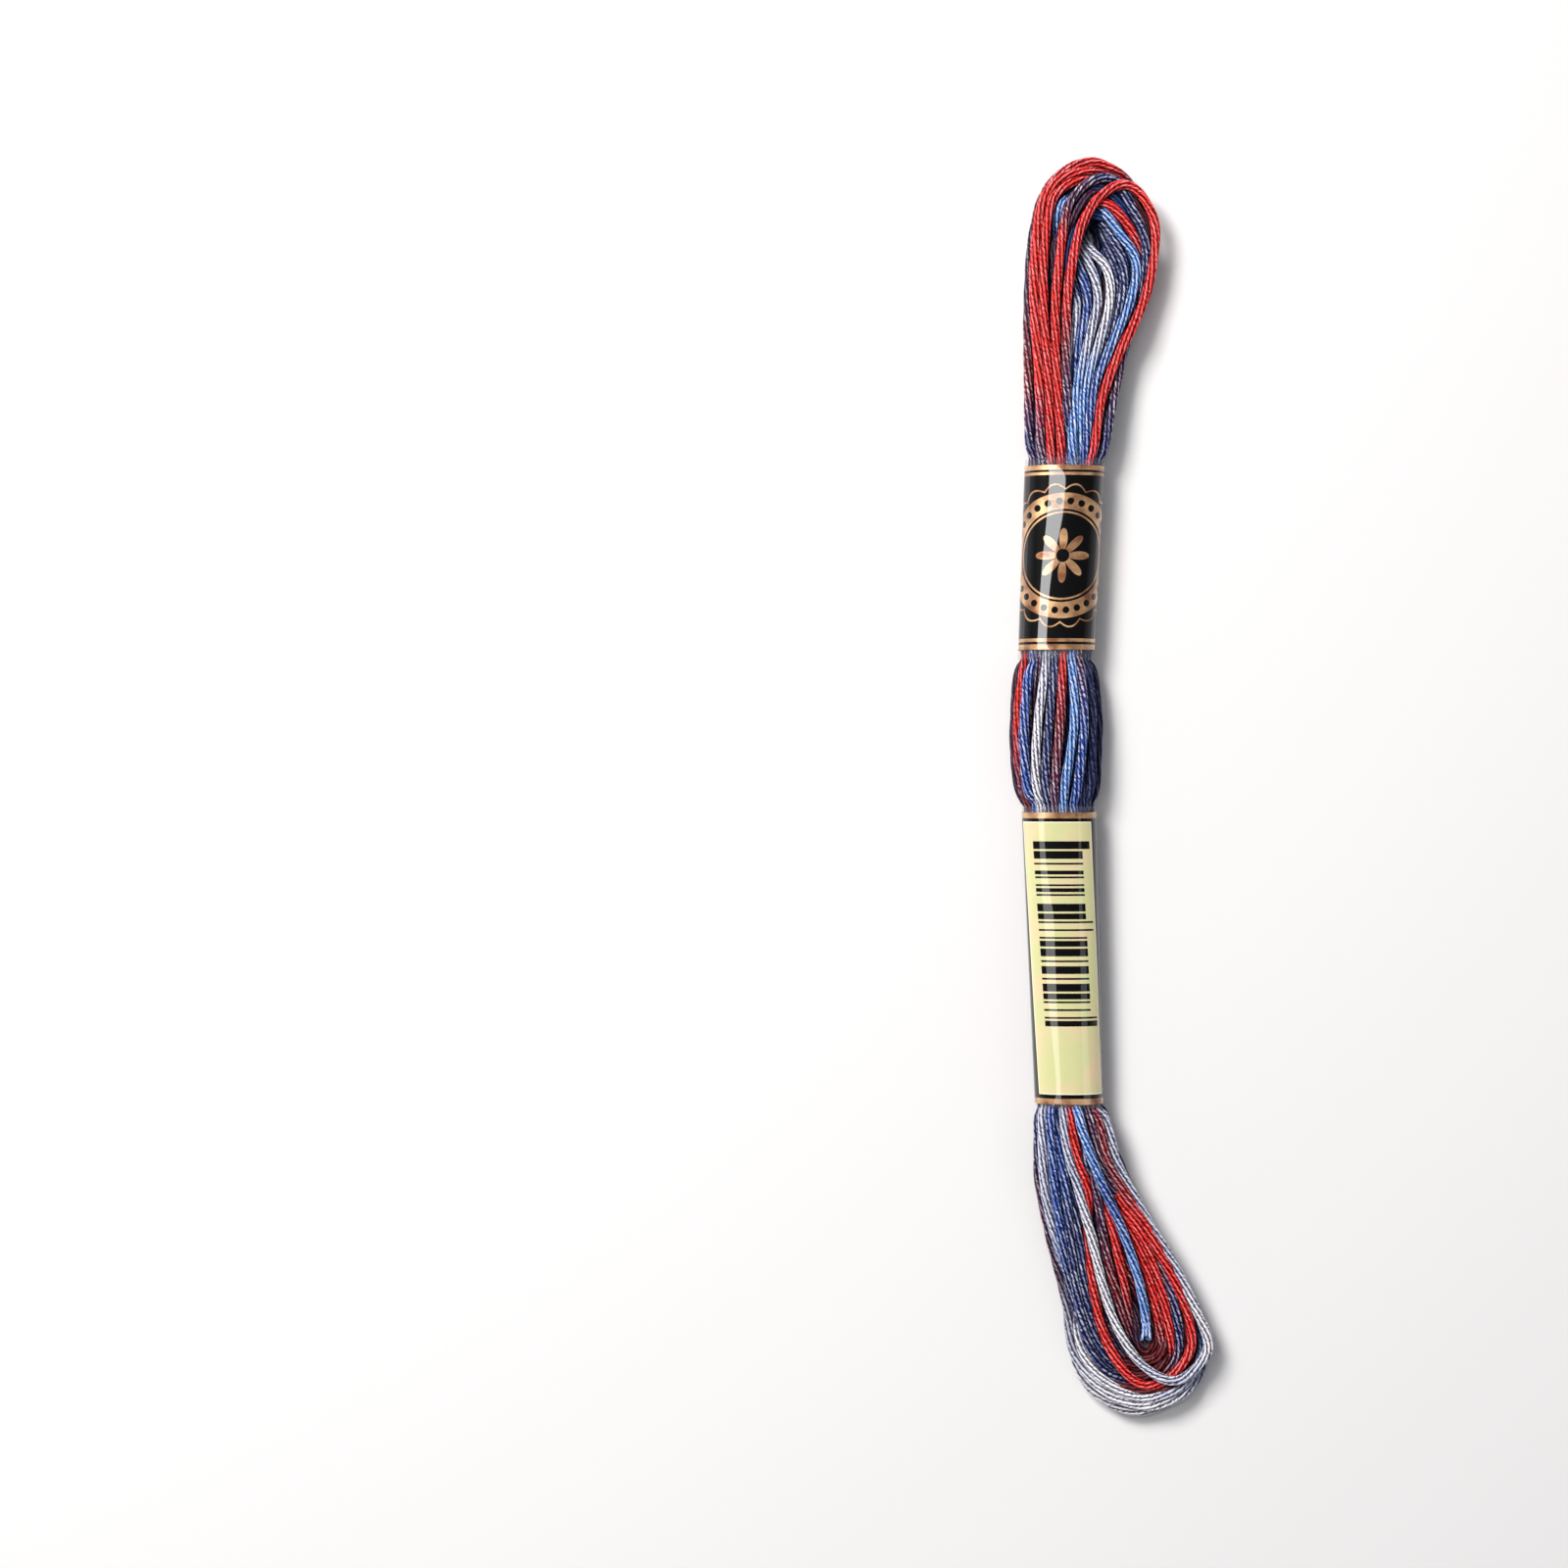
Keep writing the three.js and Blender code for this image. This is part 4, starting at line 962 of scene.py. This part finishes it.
# The upper sleeve is black, with a copper band at each mouth and a round medallion: a broad
# copper ring with dark beads, a fine ring inside it, scallops round it and an eight-petalled
# rosette in its middle.
UPPER_LENGTH = sleeve_length(SLEEVES["sleeve_upper"])
UPPER_PRINT = (0.95, UPPER_LENGTH - 1.3)  # mm from the top, as all that follow
UPPER_BANDS = ((0.95, 1.6), (UPPER_LENGTH - 2.0, UPPER_LENGTH - 1.3))
UPPER_LINES = ((1.9, 2.3), (UPPER_LENGTH - 2.8, UPPER_LENGTH - 2.35))
MEDALLION_DOWN = 13.2
RING = (6.3, 8.5)  # radii from and to
FINE_RING = (5.75, 6.0)
SCALLOP_LINE = (8.85, 9.1)
SCALLOP_DEPTH = 0.75
SCALLOPS = 20
BEADS = 30
BEAD_MIDDLE = 7.4
BEAD_SIZE = 0.22  # the square of its radius
BEAD_PITCH = 1.55  # from one bead to the next
PETALS = 8
PETAL = (0.6, 3.1)  # radius between petals, and how much further a petal reaches
ROSETTE_EYE = 0.9

nodes, _, across, down, gold = film_start("dark_printed_film")
from_middle = nodes.maths("SUBTRACT", down, MEDALLION_DOWN)
radius = nodes.maths("SQRT", nodes.maths("ADD", nodes.square(across), nodes.square(from_middle)))
bearing = nodes.maths("ARCTAN2", across, from_middle)
step = nodes.maths("FRACT", nodes.maths("MULTIPLY_ADD", bearing, BEADS / 2 / math.pi, 40.0))
sideways = nodes.maths("MULTIPLY", nodes.maths("SUBTRACT", step, 0.5), BEAD_PITCH)
outward = nodes.maths("SUBTRACT", radius, BEAD_MIDDLE)
bead = nodes.maths("LESS_THAN", nodes.maths("ADD", nodes.square(sideways), nodes.square(outward)),
                   BEAD_SIZE)
ring = nodes.maths("MULTIPLY", nodes.between(radius, *RING), nodes.maths("SUBTRACT", 1.0, bead))
arch = nodes.maths("ABSOLUTE", nodes.maths("SINE", nodes.maths("MULTIPLY", bearing, SCALLOPS / 2)))
scallop = nodes.between(nodes.maths("MULTIPLY_ADD", arch, -SCALLOP_DEPTH, radius), *SCALLOP_LINE)
petal = nodes.maths("ABSOLUTE", nodes.maths("COSINE", nodes.maths("MULTIPLY", bearing, PETALS / 2)))
edge = nodes.maths("MULTIPLY_ADD", petal, PETAL[1], PETAL[0])
rosette = nodes.maths("MULTIPLY", nodes.maths("LESS_THAN", radius, edge),
                      nodes.maths("GREATER_THAN", radius, ROSETTE_EYE))
metal = nodes.maths("ADD", ring, nodes.maths("ADD", scallop, nodes.between(radius, *FINE_RING)))
for low, high in UPPER_BANDS + UPPER_LINES:
    metal = nodes.maths("ADD", metal, nodes.between(down, low, high))
metal = nodes.maths("MINIMUM", nodes.maths("ADD", metal, rosette), 1.0)
clear = nodes.maths("SUBTRACT", 1.0, nodes.between(down, *UPPER_PRINT))
film_black = film_end(nodes, BLACK, gold, metal, clear)
upper_film = film_sleeve("sleeve_upper_film", SLEEVES["sleeve_upper"], film_black)
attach(upper_film, "root")
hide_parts("sleeve_upper")

# The lower sleeve is pale green with black sides and copper mouths, printed a little out of
# line with the skein. A cream edge frames its front, which has an invented block of bars: of its
# even steps down, those are printed where a sine of the step's number squared is over a bound.
LOWER_LENGTH = sleeve_length(SLEEVES["sleeve_lower"])
PALE_GREEN = dyed(214, 214, 158)
PEACH = dyed(234, 208, 168)
CREAM = dyed(246, 242, 206)
LOWER_PRINT = (0.85, LOWER_LENGTH - 0.4)
LOWER_BANDS = ((0.85, 1.65), (LOWER_LENGTH - 1.2, LOWER_LENGTH - 0.4))
PRINT_SLANT, PRINT_SHIFT = -0.0278, 0.86  # sideways for each mm down, and at the top
PANEL = (2.1, LOWER_LENGTH - 1.75)
PANEL_HALF_WIDTH = 4.95
PANEL_EDGE = 0.16
BARS = (4.7, 29.8)
BARS_ACROSS = (-3.2, 3.4)
BAR_STEP = 0.264
FIRST_STEP = 3  # so that the block begins with a broad bar
BAR_WAVE, BAR_BOUND = 0.69, 0.1
LONG_BARS = ((17, 26), (61, 67), (110, 116))  # steps between which the bars run on further
LONGER = 1.1

nodes, layout, across, down, gold = film_start("pale_printed_film")
cloud = nodes.add("ShaderNodeTexNoise", {"Vector": layout, "Scale": 0.16, "Detail": 2.0})
ground = nodes.mix(nodes.ramp(cloud, 0.42, 0.66), PALE_GREEN, PEACH)
across = nodes.maths("ADD", across, nodes.maths("MULTIPLY_ADD", down, PRINT_SLANT, PRINT_SHIFT))


def panel(inset):
    wide = PANEL_HALF_WIDTH - inset
    return nodes.maths("MULTIPLY", nodes.between(across, -wide, wide),
                       nodes.between(down, PANEL[0] + inset, PANEL[1] - inset))


ground = nodes.mix(panel(PANEL_EDGE), CREAM, ground)
slot = nodes.maths("FLOOR", nodes.maths("MULTIPLY_ADD", down, 1 / BAR_STEP, FIRST_STEP))
wave = nodes.maths("SINE", nodes.maths("MULTIPLY", nodes.square(slot), BAR_WAVE))
printed = nodes.maths("GREATER_THAN", wave, BAR_BOUND)
reach = BARS_ACROSS[1]
for first, last in LONG_BARS:
    reach = nodes.maths("MULTIPLY_ADD", nodes.between(slot, first, last), LONGER, reach)
bar = nodes.maths("MULTIPLY", nodes.between(across, BARS_ACROSS[0], reach), nodes.between(down, *BARS))
ground = nodes.mix(nodes.maths("MULTIPLY", bar, printed), ground, BLACK)
ground = nodes.mix(panel(0.0), BLACK, ground)
bands = nodes.maths("ADD", *(nodes.between(down, low, high) for low, high in LOWER_BANDS))
clear = nodes.maths("SUBTRACT", 1.0, nodes.between(down, *LOWER_PRINT))
film_pale = film_end(nodes, ground, gold, bands, clear)
lower_film = film_sleeve("sleeve_lower_film", SLEEVES["sleeve_lower"], film_pale)
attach(lower_film, "root")
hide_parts("sleeve_lower")
